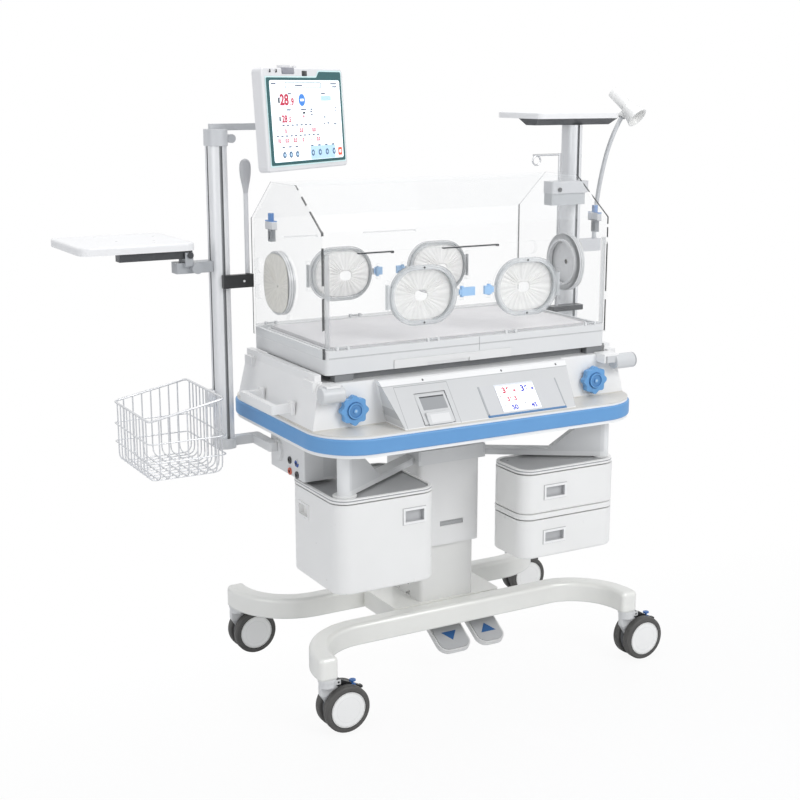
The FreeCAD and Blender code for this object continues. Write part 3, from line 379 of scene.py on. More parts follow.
def paintFittings():
    paint = moulded("fittings", "d5d6d8", 0.38)
    black = paint.either(paint.within(x=(-570, -480), z=(1090, 1130)),
                         paint.within(x=(450, 570), z=(950, 972)))
    paddle = paint.within(x=(-520, -478), z=(1336, 1425))
    lower = paint.within(x=(438, 562), z=(1266, 1301.5))
    button = paint.both(paint.radius(paint.x, paint.z, 462, 1313) < 7, paint.y < 63.9)
    dot = paint.both(paint.radius(paint.x, paint.z, -512, 1111) < 3.2, paint.y < 93.9)
    colour = paint.mix(paddle, paint.colour, hexColour("c3c4c6"))
    colour = paint.mix(lower, colour, hexColour("bfc2c4"))
    colour = paint.mix(black, colour, hexColour("242527"))
    colour = paint.mix(button, colour, hexColour("161617"))
    return paint.set(Base_Color=paint.mix(dot, colour, hexColour("e6e6e6")))


wear("postFittings", paintFittings())

deckPaint = moulded("deckShell", "e4e5e5", 0.36)
# painted shade: the deck below 905 mm, down in the gap over the housing, is darkened
gapShade = deckPaint.z < 905.2
tabs = deckPaint.both(deckPaint.y < -209.4, deckPaint.between(deckPaint.z, 945.4, 948.4))
upright = deckPaint.both(deckPaint.y < -209, deckPaint.z > 930,
                         deckPaint.between(abs(deckPaint.x - 20), 0, 1.2))
slotShade = deckPaint.both(deckPaint.y < -205, deckPaint.within(x=(-232, 112), z=(908, 927)))
deckColour = deckPaint.mix(tabs * 0.6, deckPaint.colour, hexColour("77787a"))
deckColour = deckPaint.mix(upright * 0.5, deckColour, hexColour("77787a"))
deckColour = deckPaint.mix(slotShade, deckColour, hexColour("5a5b5d"))
deckPaint.set(Base_Color=deckPaint.mix(gapShade, deckColour, hexColour("86888a")))
wear("deckTub", deckPaint)
wear("cassetteTray", moulded("cassetteShell", "e8e8e7", 0.34))
wear("bedTray", moulded("bedShell", "e2e3e3", 0.4))


def paintWaterDrawer():
    paint = moulded("waterDrawerShell", "d6d7d7", 0.34)
    window = paint.both(paint.within(x=(-203, -132), z=(812, 838)), paint.y < -266)
    cap = paint.both(paint.within(x=(-203, -132), z=(838, 841)), paint.y < -266)
    plate = paint.both(paint.within(x=(-195, -140), z=(786, 804)), paint.y < -312)
    colour = paint.mix(window, paint.colour, hexColour("9fa1a3"))
    colour = paint.mix(cap, colour, hexColour("4c4d4f"))
    colour = paint.mix(plate * 0.5, colour, hexColour("f0f0ef"))
    slot = paint.both(paint.within(x=(-222, -112), z=(770, 779.5)), paint.y < -300)
    return paint.set(Base_Color=paint.mix(slot, colour, hexColour("1b1b1c")))


wear("waterDrawer", paintWaterDrawer())


def clearSheet(name, tint, face=0.07, rim=0.5, edges=None, rough=0.04):
    paint = Paint(name, hexColour(tint), Roughness=rough, Coat_Weight=0.0, IOR=1.45)
    paint.shader.inputs["Specular IOR Level"].default_value = 0.6
    clear = paint.node("BsdfTransparent", {}, {"Color": (1, 1, 1)})
    facing = paint.node("LayerWeight", {}, {"Blend": 0.5}, out=1)
    amount = facing * facing * facing * rim + face
    if edges:
        mask, colour = edges(paint)
        amount = paint.maths("MINIMUM", amount + mask * 0.9, 1.0)
        paint.set(Base_Color=paint.mix(mask, hexColour(tint), colour))
    mixed = paint.node("MixShader", {}, {0: amount, 1: clear, 2: Wire(paint, paint.shader.outputs[0])})
    out = [n for n in paint.tree.nodes if n.type == "OUTPUT_MATERIAL"][0]
    paint.tree.links.new(mixed.socket, out.inputs["Surface"])
    return paint


def hoodEdges(paint):
    # the sawn ends of the sheets are painted as broken dark lines, strongest at the front corners: painted
    # refraction shade, not a colour of the sheet
    nearEnd = abs(paint.x) > 430.2
    refractionDash = paint.noise(24.0, 1.0, (0.1, 1.0, 1.0)) > 0.41
    frontSlant = paint.both(nearEnd, paint.z > 1257,
                            abs((paint.y + 206) * 0.7143 - (paint.z - 1259)) < 5.5, paint.y < 0)
    frontPost = paint.both(abs(paint.x) > 428.4, paint.y < -201.5)
    rearSlant = paint.both(nearEnd, paint.z > 1258,
                           abs((227 - paint.y) * 0.7895 - (paint.z - 1259)) < 2.6, paint.y > 0)
    rearPost = paint.both(abs(paint.x) > 430.4, paint.y > 222.8)
    ridge = paint.both(abs(paint.x) > 431.6, paint.z > 1361.5)
    lines = paint.either(paint.either(frontSlant, frontPost) * refractionDash * 0.95,
                         rearSlant * 0.35, rearPost * 0.85, ridge * 0.2)
    fittings = paint.either(paint.both(paint.x < -433.2, paint.between(paint.z, 1208, 1262)),
                            paint.both(paint.x > 433.2, paint.between(paint.z, 1212, 1262)))
    tab = paint.both(abs(paint.x) > 433.2, paint.z > 1263)
    solid = paint.either(fittings * 0.9, tab)
    grip = paint.both(fittings, paint.z < 1244)
    colour = paint.mix(fittings, hexColour("191b1d"), hexColour("d4d6d8"))
    colour = paint.mix(grip, colour, hexColour("8a8d90"))
    colour = paint.mix(tab, colour, hexColour("6d97cf"))
    return paint.either(lines, solid), colour


hoodPaint = clearSheet("clearHood", "f4f7f8", 0.03, 0.3, hoodEdges)
wear("hoodShell", hoodPaint)


def portAway(paint):
    # distance outwards from the rim of the nearest port, in mm
    across = paint.maths("MAXIMUM", abs(abs(paint.x) - port["x"]) - port["straight"], 0.0)
    up = paint.maths("MAXIMUM", abs(paint.z - port["z"]) - port["upright"], 0.0)
    return paint.maths("SQRT", across * across + up * up) - port["round"]


def flapEdges(paint):
    bars = paint.either(paint.between(paint.x, -335, -235), paint.between(paint.x, -92, 77))
    stud = paint.maths("MINIMUM", abs(paint.x + 237), abs(paint.x - 75)) < 3.2
    top = paint.both(paint.either(paint.z > 1201.8, stud * (paint.z > 1198.6)),
                     paint.either(paint.y < 0, 0.25), bars)
    # painted shade: the side ends of the front sheet are darkened like the hood's sheet ends
    sheetEndShade = paint.both(abs(paint.x) > 413.5, paint.y < 0)
    away = portAway(paint)
    outside = paint.either(paint.y < -208, paint.y > 229)
    sleeve = paint.both(outside, paint.between(away, -1.5, 7.5))
    rim = paint.both(outside, paint.between(away, 4.6, 7.5))
    # the far side of each sleeve shows its inner wall, in shade
    far = paint.both(sleeve, paint.x - paint.maths("SIGN", paint.x) * port["x"] > 30, away < 1.0)
    # painted shade: a dark band along the foot of each flap stands for the shadow line where it meets the
    # deck
    low = paint.z < 973
    colour = paint.mix(sleeve, hexColour("3c3e41"), hexColour("c6cacc"))
    colour = paint.mix(far, colour, hexColour("8e9295"))
    return paint.either(top, sleeve * 0.55, rim * 0.7, far * 0.85, low * 0.3, sheetEndShade * 0.4), colour


flapPaint = clearSheet("clearFlap", "f4f7f8", 0.03, 0.3, flapEdges)
wear("frontPanel", flapPaint)
wear("rearPanel", flapPaint)


def doorEdges(paint):
    away = portAway(paint)
    outline = paint.between(away, 9.3, 12.0)
    face = paint.between(away, 0.8, 9.3)
    inner = paint.between(away, -0.9, 0.8)
    hinge = away > 12.0
    side = paint.both(paint.between(paint.y, -223.6, 244.6), paint.between(away, 6.5, 12.0))
    dots = paint.both(paint.radius(abs(paint.x), abs(paint.z - port["z"]), port["x"], 70) < 2.8,
                      paint.y < -226)
    colour = paint.mix(outline, hexColour("e6e9ea"), hexColour("85898c"))
    colour = paint.mix(inner, colour, hexColour("9ca0a3"))
    colour = paint.mix(dots, colour, hexColour("1d1e20"))
    return paint.either(outline * 0.5, face * 0.26, inner * 0.42, side * 0.38, hinge * 0.5, dots), colour


doorPaint = clearSheet("clearDoor", "f2f5f6", 0.035, 0.4, doorEdges)
for corner in castors:
    wear("portDoor" + corner, doorPaint)


def paintIris():
    paint = moulded("irisRing", "dcdddd", 0.3, coat=0.3)
    away = paint.radius(paint.y, paint.z, iris["y"], iris["z"])
    rings = paint.either(paint.between(away, 69.5, 71.2), paint.between(away, 76.5, 78.0))
    rings = rings * (abs(paint.x) > 456)
    deep = abs(paint.x)
    bands = paint.either(paint.between(deep, 436.5, 438.2), paint.between(deep, 446, 447.6),
                         paint.between(deep, 452.5, 453.6))
    colour = paint.mix(paint.both(away > 74, bands) * 0.7, paint.colour, hexColour("5f6265"))
    return paint.set(Base_Color=paint.mix(rings * 0.5, colour, hexColour("7e8184")))


irisPaint = paintIris()
wear("irisLeft", irisPaint)
wear("irisRight", irisPaint)


def paintKnob(side):
    paint = moulded("knob" + ("Left" if side < 0 else "Right"), tones["knob"], 0.42, coat=0.12)
    away = paint.radius(paint.x, paint.z, side * 370, 820)
    front = paint.y < -253.5
    ringLine = paint.both(front, paint.either(paint.between(away, 21.5, 23), paint.between(away, 14.5, 16.2),
                                              paint.between(away, 6.2, 7.4)))
    # painted shade: the hollow inside each knob is darkened
    hollowShade = paint.both(away < 17.2, away > 6.2, paint.y > -256.8)
    dot = paint.both(front, away < 3.4)
    colour = paint.mix(hollowShade * 0.45, paint.colour, hexColour("3a6fa6"))
    colour = paint.mix(ringLine * 0.5, colour, hexColour("3f76ad"))
    return paint.set(Base_Color=paint.mix(dot, colour, hexColour("a9cbea")))


wear("knobLeft", paintKnob(-1))
wear("knobRight", paintKnob(1))
latchPaint = moulded("latchBlue", tones["latch"], 0.35, coat=0.25)
for corner in castors:
    wear("latch" + corner, latchPaint)


def paintBin(name, grips):
    paint = moulded(name, tones["bins"], 0.3, coat=0.3)
    colour = paint.colour

    def grown(x0, x1, z0, z1, by):
        return paint.within(x=(x0 - by, x1 + by), z=(z0 - by, z1 + by))

    for grip in grips:
        frameMask = paint.both(paint.y < -295.6, grown(*grip, 1))
        # painted shade: the recess inside each grip is greyed
        hollowShade = paint.both(paint.y > -295.4, paint.y < -283.5, grown(*grip, -5.5))
        outline = paint.both(paint.y < -294, grown(*grip, 1.5), 1 - grown(*grip, 0))
        colour = paint.mix(frameMask, colour, hexColour("f3f3f2"))
        colour = paint.mix(hollowShade, colour, hexColour("c2c3c4"))
        colour = paint.mix(outline * 0.5, colour, hexColour("8f9091"))
    return paint.set(Base_Color=colour)


wear("drawerL", paintBin("binLeft", [(-257, -190, 517, 559)]))
wear("drawerUpper", paintBin("binUpper", [(178, 251, 519, 559)]))
wear("drawerLower", paintBin("binLower", [(178, 251, 394, 432)]))
lidPaint = moulded("binLid", "f1f1ef", 0.3, coat=0.3)
# painted shade: the dipped top of each lid, and the band at that height on its sides, are greyed
lidRecessShade = lidPaint.between(lidPaint.z, 599, 602.4)
lidPaint.set(Base_Color=lidPaint.mix(lidRecessShade, lidPaint.colour, hexColour("a3a4a5")))
wear("cabinetL", lidPaint)
wear("cabinetR", lidPaint)


def paintTop(name, split, undersideShade, code="f4f4f4"):
    paint = moulded(name, code, 0.3, coat=0.25)
    # painted shade: below the top slab everything is darkened, so the bracket under each reads as in shadow
    return paint.set(Base_Color=paint.mix(paint.z < split, paint.colour, hexColour(undersideShade)))


wear("leftTray", paintTop("sideTray", 1195.8, "3f4144"))
wear("rightShelf", paintTop("highShelf", 1512.8, "47494c"))
wear("trayClamp", moulded("clampGrey", "aeb1b4", 0.4))
wear("monitorArm", moulded("armGrey", "d2d4d6", 0.36, coat=0.2))
wear("monitorYoke", moulded("yokeDark", "4a4c4f", 0.42))


def ribbing(paint, way, scale):
    values = {"Vector": paint.place, "Scale": scale, "Distortion": 0.0}
    return paint.node("TexWave", {"bands_direction": way}, values)


def paintNeck():
    paint = moulded("gooseneckSkin", "cfd1d3", 0.4)
    return paint.relief(ribbing(paint, "Z", 62.0), 0.5, 0.001)


wear("gooseneck", paintNeck())
wear("lampHead", moulded("lampShell", "eeeeec", 0.3, coat=0.3))
wear("ivRod", brushed("rodSteel", "dcdddf", 0.2, metal=1.0, lines=0.05))


def paintFork():
    paint = moulded("forkCast", "d9dada", 0.36, coat=0.2)
    low = paint.z < 100
    return paint.set(Base_Color=paint.mix(low * 0.5, paint.colour, hexColour("a8aaac")))


forkPaint = paintFork()
for corner in castors:
    wear("fork" + corner, forkPaint)


def paintWheel(corner):
    x, y = castors[corner]
    paint = Paint("wheel" + corner, hexColour(tones["tyre"]), Coat_Weight=0.0)
    away = paint.radius(paint.x, paint.z, x + wheels["trail"], wheels["axle"])
    side = abs(paint.y - y)
    outer = side > 30.5
    hub = paint.both(away < 48.6, outer)
    groove = paint.both(paint.between(away, 47.6, 49.8), outer)
    ring = paint.both(paint.between(away, 32.5, 33.8), outer)
    inner = paint.both(away < 52, side < 30)
    colour = paint.mix(paint.noise(30.0, 3.0), hexColour("454442"), hexColour("5a5957"))
    colour = paint.mix(inner, colour, hexColour("8d8f91"))
    colour = paint.mix(hub, colour, hexColour("f4f4f2"))
    colour = paint.mix(ring * 0.12, colour, hexColour("9b9d9e"))
    colour = paint.mix(groove, colour, hexColour("2c2c2c"))
    rough = paint.noise(120.0, 3.0) * 0.2 + 0.45 - hub * 0.12
    paint.set(Base_Color=colour, Roughness=rough)
    return paint.relief(paint.noise(700.0, 2.0), 0.15, 0.0003)


for corner in castors:
    wear("wheel" + corner, paintWheel(corner))

brakePaint = moulded("brakeLever", "202123", 0.4)
caps = [brakePaint.radius(brakePaint.x, brakePaint.y, x + wheels["cap"], y) < 9 for x, y in castors.values()]
blueCap = brakePaint.both(brakePaint.either(*caps), brakePaint.z > 112)
brakePaint.set(Base_Color=brakePaint.mix(blueCap, brakePaint.colour, hexColour("2f6cb3")))
for corner in castors:
    wear("brake" + corner, brakePaint)


def paintPedal():
    paint = Paint("pedalPad", hexColour("bcbdbe"), Coat_Weight=0.0)
    # height above the tread plate, which slopes 30 degrees down to the front
    up = (paint.y + 52) * -0.5 + (paint.z - 118) * 0.866
    along = (paint.y + 52) * 0.866 + (paint.z - 118) * 0.5
    pad = paint.both(up > 6.35, along < -8)
    arrow = paint.both(up > 7.72, along < -8)
    ribs = ribbing(paint, "Y", 70.0)
    colour = paint.mix(pad, hexColour("e3e3e2"), hexColour("bcbdbe"))
    paint.set(Base_Color=paint.mix(arrow, colour, hexColour("2b5f98")),
              Roughness=paint.noise(90.0, 2.0) * 0.15 + 0.42)
    return paint.relief(ribs * pad, 0.25, 0.0004)


pedalPaint = paintPedal()
wear("pedalDown", pedalPaint)
wear("pedalUp", pedalPaint)


wear("monitor", moulded("monitorCase", "e9e9ea", 0.34, coat=0.2))
print("stage: node finishes")

# mesh helpers

def newPiece(name, bm, body, paint, stands=(), smooth=True, modifiers=None):
    mesh = bpy.data.meshes.new(name)
    bm.normal_update()
    bm.to_mesh(mesh)
    bm.free()
    piece = bpy.data.objects.new(name, mesh)
    bpy.context.scene.collection.objects.link(piece)
    mesh.materials.append(paint.material)
    for face in mesh.polygons:
        face.use_smooth = smooth
    for kind, settings in (modifiers or {}).items():
        made = piece.modifiers.new(kind, kind)
        for key, value in settings.items():
            setattr(made, key, value)
    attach(piece, body)
    if stands:
        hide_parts(*stands)
    return piece


def block(bm, low, high, bevel=0.0, steps=2, where=Matrix.Identity(4)):
    low, high = Vector(low), Vector(high)
    size = high - low
    spot = Matrix.Translation((low + high) / 2) @ Matrix.Diagonal((*size, 1))
    made = bmesh.ops.create_cube(bm, size=1.0, matrix=spot)
    if bevel:
        edges = list({e for v in made["verts"] for e in v.link_edges})
        made = bmesh.ops.bevel(bm, geom=edges, offset=bevel, segments=steps, affect="EDGES",
                               profile=0.5, material=-1)
    bmesh.ops.transform(bm, matrix=where, verts=made["verts"])


def rod(bm, start, end, radius, sides=16):
    start, end = Vector(start), Vector(end)
    turn = (end - start).to_track_quat("Z", "Y").to_matrix().to_4x4()
    spot = Matrix.Translation((start + end) / 2) @ turn
    bmesh.ops.create_cone(bm, cap_ends=True, segments=sides, radius1=radius, radius2=radius,
                          depth=(end - start).length, matrix=spot)


def wirePath(bm, points, radius, closed=False, sides=2):
    data = bpy.data.curves.new("wire", "CURVE")
    data.dimensions, data.bevel_depth, data.bevel_resolution, data.use_fill_caps = "3D", radius, sides, True
    line = data.splines.new("POLY")
    line.points.add(len(points) - 1)
    for point, place in zip(line.points, points):
        point.co = (*place, 1)
    line.use_cyclic_u = closed
    holder = bpy.data.objects.new("wire", data)
    bm.from_mesh(bpy.data.meshes.new_from_object(holder))
    bpy.data.objects.remove(holder)
    bpy.data.curves.remove(data)


def cornered(points, radius, closed=False, steps=4):
    # rounds the corners of a bent wire
    result = []
    count = len(points)
    for i, corner in enumerate(points):
        corner = Vector(corner)
        if not closed and i in (0, count - 1):
            result.append(corner)
            continue
        before, after = Vector(points[i - 1]), Vector(points[(i + 1) % count])
        a, b = (before - corner).normalized() * radius, (after - corner).normalized() * radius
        for k in range(steps + 1):
            t = k / steps
            result.append(corner + a * (1 - t) ** 2 + b * t ** 2)
    return result


def lettering(bm, text, size, where, x, z, depth=-0.0002, centre=True, squeeze=1.0):
    data = bpy.data.curves.new("digits", "FONT")
    data.body, data.align_x, data.align_y = text, "CENTER" if centre else "LEFT", "CENTER"
    data.offset = 0.04
    holder = bpy.data.objects.new("digits", data)
    bpy.context.scene.collection.objects.link(holder)
    graph = bpy.context.evaluated_depsgraph_get()
    mesh = bpy.data.meshes.new_from_object(holder.evaluated_get(graph))
    flat = Matrix.Rotation(math.radians(90), 4, "X") @ Matrix.Diagonal((squeeze * size, size, size, 1))
    mesh.transform(where @ Matrix.Translation((x, depth, z)) @ flat)
    bm.from_mesh(mesh)
    bpy.data.objects.remove(holder)
    bpy.data.curves.remove(data)
    bpy.data.meshes.remove(mesh)


def plainInk(name, code, rough=0.5, glow=0.0):
    colour = hexColour(code)
    paint = Paint(name, colour, Roughness=rough, Emission_Color=(*colour, 1), Emission_Strength=glow)
    cloud = paint.noise(60.0, 2.0)
    return paint.set(Base_Color=paint.mix(cloud, shade(colour, 0.96), shade(colour, 1.03)))


def rectangle(bm, x0, x1, z0, z1, depth, where, radius=0.0, thick=0.0003):
    corners = [(x0, z0), (x1, z0), (x1, z1), (x0, z1)]
    outlinePlate(bm, corners, depth, where, radius, thick)


def outlinePlate(bm, corners, depth, where, radius=0.0, thick=0.0003):
    points = [Vector((x, depth, z)) for x, z in corners]
    if radius:
        points = cornered(points, radius, True, 5)
    verts = [bm.verts.new(where @ p) for p in points]
    face = bm.faces.new(verts)
    out = bmesh.ops.extrude_face_region(bm, geom=[face])
    moved = [g for g in out["geom"] if isinstance(g, bmesh.types.BMVert)]
    bmesh.ops.translate(bm, vec=where.to_3x3() @ Vector((0, -thick, 0)), verts=moved)
    bmesh.ops.recalc_face_normals(bm, faces=list(bm.faces))


# floor

floorBm = bmesh.new()
bmesh.ops.create_grid(floorBm, x_segments=2, y_segments=2, size=30.0)
floorPaint = Paint("paleFloor", (0.88, 0.88, 0.88), Roughness=0.5)
glowing = floorPaint.node("Emission", {}, {"Color": (1, 1, 1), "Strength": 1.0})
cameraRay = floorPaint.node("LightPath", out="Is Camera Ray")
distance = floorPaint.maths("MAXIMUM", (floorPaint.y + 1700) * 0.0005, 0.0)
whiter = floorPaint.maths("MINIMUM", distance, 1.0) * 0.27 + 0.73
floorSkin = Wire(floorPaint, floorPaint.shader.outputs[0])
floorMix = floorPaint.node("MixShader", {}, {0: cameraRay * whiter, 1: floorSkin, 2: glowing})
floorOut = [n for n in floorPaint.tree.nodes if n.type == "OUTPUT_MATERIAL"][0]
floorPaint.tree.links.new(floorMix.socket, floorOut.inputs["Surface"])
floorMesh = bpy.data.meshes.new("floor")
floorBm.to_mesh(floorMesh)
floorBm.free()
floorMesh.materials.append(floorPaint.material)
floor = bpy.data.objects.new("floor", floorMesh)
floor.location.z = -0.0005
bpy.context.scene.collection.objects.link(floor)


# pleated port cuffs and end irises

def pleatShade(paint, dx, dz, folds, depth):
    angle = paint.maths("ARCTAN2", dz, dx)
    wave = paint.maths("SINE", angle * folds) * 0.5 + 0.5
    return wave * depth


def cuffCloth(name, code, folds, shades, reach):
    paint = Paint(name, hexColour(code), Roughness=0.75, Sheen_Weight=0.2)
    paint.shader.inputs["Subsurface Weight"].default_value = 0.0
    weave = paint.noise(1800.0, 2.0)
    cloud = paint.noise(45.0, 3.0)
    colour = paint.mix(cloud, shade(hexColour(code), 0.95), shade(hexColour(code), 1.04))
    dx, dz = shades(paint)
    away = paint.maths("SQRT", dx * dx + dz * dz) * (1 / reach)
    fold = pleatShade(paint, dx, dz, folds, 0.2) + pleatShade(paint, dx, dz, folds // 3, 0.12)
    hole = paint.maths("MAXIMUM", 1 - away * 3.2, 0.0)
    colour = paint.mix(fold * (1 - hole), colour, shade(hexColour(code), 0.62))
    paint.set(Base_Color=colour)
    return paint.relief(weave, 0.15, 0.0002)


def portEdge(angle, half):
    # a flattened round outline, half = (half width, half height)
    power = 2 / 2.7
    c, s = math.cos(angle), math.sin(angle)
    return Vector((half[0] * math.copysign(abs(c) ** power, c), half[1] * math.copysign(abs(s) ** power, s)))


def pleatedDisc(name, body, paint, centre, half, inward, hole, folds, dish, lift, twist=0.0,
                offset=(0, 0), axis="Y", stands=(), seed=1):
    rolls = random.Random(seed)
    phases = [rolls.uniform(-0.5, 0.5) for _ in range(folds)]
    bm = bmesh.new()
    bmesh.ops.create_circle(bm, cap_ends=False, segments=folds * 6, radius=1.0)
    edges = list(bm.edges)
    rings = 14
    for k in range(rings):
        out = bmesh.ops.extrude_edge_only(bm, edges=edges)
        fresh = [g for g in out["geom"] if isinstance(g, bmesh.types.BMVert)]
        drawn = [g for g in out["geom"] if isinstance(g, bmesh.types.BMEdge)]
        edges = [g for g in drawn if all(v in fresh for v in g.verts)]
        now, was = 1 - (k + 1) / rings * (1 - hole), 1 - k / rings * (1 - hole)
        bmesh.ops.scale(bm, vec=(now / was, now / was, 1), verts=fresh)
    for vert in bm.verts:
        r = min(1.0, math.hypot(vert.co.x, vert.co.y))
        angle = math.atan2(vert.co.y, vert.co.x)
        turned = angle + twist * (1 - r)
        fold = int((angle / (2 * math.pi) % 1) * folds) % folds
        wave = math.sin(folds * angle + phases[fold] * 0.6) * (0.65 + 0.35 * math.sin(3 * angle + phases[0]))
        rise = max(0.0, math.sin(math.pi * min(1.0, (1 - r) * 1.15))) ** 0.7
        flat = portEdge(turned, half) * r
        ease = (1 - r) ** 1.2
        depth = dish * (1 - r * r) + lift * wave * rise
        spot = (flat.x + offset[0] * ease, inward * depth, flat.y + offset[1] * ease)
        if axis == "Y":
            vert.co = Vector(spot) / 1000
        else:
            vert.co = Vector((spot[1], spot[0], spot[2])) / 1000
    bmesh.ops.translate(bm, vec=at(*centre), verts=list(bm.verts))
    bmesh.ops.recalc_face_normals(bm, faces=list(bm.faces))
    area = sum(face.calc_area() for face in bm.faces)
    around = math.pi * (half[0] + half[1]) / 1000
    bmesh.ops.solidify(bm, geom=list(bm.faces), thickness=0.0004)
    piece = newPiece(name, bm, body, paint, stands)
    area / around
    return piece


cuffs = {"half": (85.4, 64.4), "folds": 26, "dish": 13.0, "lift": 2.2, "hole": 0.21}
cuffPaint = cuffCloth("cuffCloth", "faf9f6", 26, lambda p: (abs(p.x) - port["x"], p.z - port["z"]), 70)
for name, side, y, body, node, inward in (("cuffFrontLeft", -1, -213, "frontFlap", "frontCuffs", 1),
                                          ("cuffFrontRight", 1, -213, "frontFlap", "frontCuffs", 1),
                                          ("cuffRearLeft", -1, 234, "rearFlap", "rearCuffs", -1),
                                          ("cuffRearRight", 1, 234, "rearFlap", "rearCuffs", -1)):
    x = side * port["x"]
    pleatedDisc(name, body, cuffPaint, (x, y, port["z"]), cuffs["half"], inward, cuffs["hole"],
                cuffs["folds"], cuffs["dish"], cuffs["lift"], offset=(6, -5), stands=(node,),
                seed=len(name) + x)

# the iris cloth is drawn in to a point behind and below the middle of its ring
cloth = {"half": (75.0, 75.0), "folds": 44, "dish": -0.2, "lift": 0.9, "hole": 0.03, "offset": (-14, -6)}
irisCloth = cuffCloth("irisCloth", "eceae2", 44, lambda p: (p.y - iris["y"] + 14, p.z - iris["z"] + 6), 75)
for name, side, body in (("irisClothLeft", -1, "irisLeftBody"), ("irisClothRight", 1, "irisRightBody")):
    middle = (side * iris["face"], iris["y"], iris["z"])
    pleatedDisc(name, body, irisCloth, middle, cloth["half"], -side, cloth["hole"], cloth["folds"],
                cloth["dish"], cloth["lift"], twist=0.5, axis="X", offset=cloth["offset"], seed=9)
print("stage: cuffs")


# mattress

pad = {"x": (-395, 395), "y": (-182, 200), "z": (938.0, 971.0), "crown": 3.0, "pull": 2.5,
       "piping": 1.4, "seam": 968.4, "inset": 3.2}


def buildMattress():
    bm = bmesh.new()
    (x0, x1), (y0, y1), (z0, z1) = pad["x"], pad["y"], pad["z"]
    low, high = at(x0, y0, z0), at(x1, y1, z1)
    block(bm, low, high)
    longEdges = [e for e in bm.edges if abs((e.verts[0].co - e.verts[1].co).x) > 0.1]
    bmesh.ops.subdivide_edges(bm, edges=longEdges, cuts=39, use_grid_fill=True)
    wideEdges = [e for e in bm.edges if abs((e.verts[0].co - e.verts[1].co).y) > 0.1]
    bmesh.ops.subdivide_edges(bm, edges=wideEdges, cuts=19, use_grid_fill=True)
    tallEdges = [e for e in bm.edges if abs((e.verts[0].co - e.verts[1].co).z) > 0.02]
    bmesh.ops.subdivide_edges(bm, edges=tallEdges, cuts=5, use_grid_fill=True)
    mid, half = (low + high) / 2, (high - low) / 2
    for vert in bm.verts:
        u, v, w = [(vert.co[i] - mid[i]) / half[i] for i in range(3)]
        crown = pad["crown"] / 1000 * (1 - u ** 6) * (1 - v ** 4)
        pull = pad["pull"] / 1000 * (1 - u * u if abs(v) > 0.99 else 1 - v * v if abs(u) > 0.99 else 0)
        edge = max(abs(u), abs(v))
        roundOff = 0.004 * max(0.0, (edge - 0.96) / 0.04) ** 2
        if w > 0:
            vert.co.z += (crown - roundOff) * w
        if abs(v) > 0.99:
            vert.co.y -= math.copysign(pull * (1 - w * w * 0.6), v)
        if abs(u) > 0.99:
            vert.co.x -= math.copysign(pull * (1 - w * w * 0.6), u)
        vert.co.z += 0.0006 * math.sin(u * 9.0 + 1.3) * math.sin(v * 5.0) * max(w, 0)
    bmesh.ops.recalc_face_normals(bm, faces=list(bm.faces))
    return bm


padPaint = Paint("mattressCover", hexColour("dddbdb"), Roughness=0.62, Sheen_Weight=0.15)
weave = padPaint.noise(1500.0, 2.0)
crease = padPaint.noise(14.0, 4.0)
padPaint.set(Base_Color=padPaint.mix(crease, hexColour("d2d0d0"), hexColour("e4e2e2")))
padPaint.relief(weave * 0.4 + crease * 2.0, 0.18, 0.0008)
mattress = newPiece("mattressPad", buildMattress(), "mattressPad", padPaint, ("mattress",),
                    modifiers={"SUBSURF": {"levels": 1, "render_levels": 1}})


def buildPiping():
    bm = bmesh.new()
    (x0, x1), (y0, y1) = [(low + pad["inset"], high - pad["inset"]) for low, high in (pad["x"], pad["y"])]
    corners = [at(x, y, pad["seam"]) for x, y in ((x0, y0), (x1, y0), (x1, y1), (x0, y1))]
    wirePath(bm, cornered(corners, 0.012, True), pad["piping"] / 1000, True)
    return bm


newPiece("mattressPiping", buildPiping(), "mattressPad", padPaint)
print("stage: mattress")


# wire basket

basket = {"x": (-808, -604), "y": (26, 304), "z": (622, 782, 822), "wire": 1.9, "rim": 3.1, "corner": 24}


def buildBasket():
    bm = bmesh.new()
    (x0, x1), (y0, y1), (low, out, inner) = basket["x"], basket["y"], basket["z"]

    def top(x):
        return out + (inner - out) * (x - x0) / (x1 - x0)

    r = basket["corner"] / 1000
    for i in range(1, 11):
        y = y0 + (y1 - y0) * i / 11
        path = [at(x0, y, top(x0)), at(x0, y, low), at(x1, y, low), at(x1, y, top(x1))]
        wirePath(bm, cornered(path, r), basket["wire"] / 1000)
    for i in range(1, 8):
        x = x0 + (x1 - x0) * i / 8
        path = [at(x, y0, top(x)), at(x, y0, low + 3), at(x, y1, low + 3), at(x, y1, top(x))]
        wirePath(bm, cornered(path, r), basket["wire"] / 1000)
    for z, swell in ((724, 2.5), (674, 2.5)):
        ringPath = [at(x0 - swell, y0 - swell, z), at(x1 + swell, y0 - swell, z),
                    at(x1 + swell, y1 + swell, z), at(x0 - swell, y1 + swell, z)]
        wirePath(bm, cornered(ringPath, 0.014, True), basket["wire"] / 1000, True)
    rim = [at(x0, y0, top(x0)), at(x1, y0, top(x1)), at(x1, y1, top(x1)), at(x0, y1, top(x0))]
    wirePath(bm, cornered(rim, 0.014, True), basket["rim"] / 1000, True, 3)
    block(bm, at(-606, 131, 777), at(-584.6, 159, 821), 0.002)
    return bm


wirePaint = brushed("basketWire", "e3e4e6", 0.28, metal=0.55, lines=0.05)
newPiece("wireBasket", buildBasket(), "lift", wirePaint, ("basket",))
print("stage: basket")


# monitor face

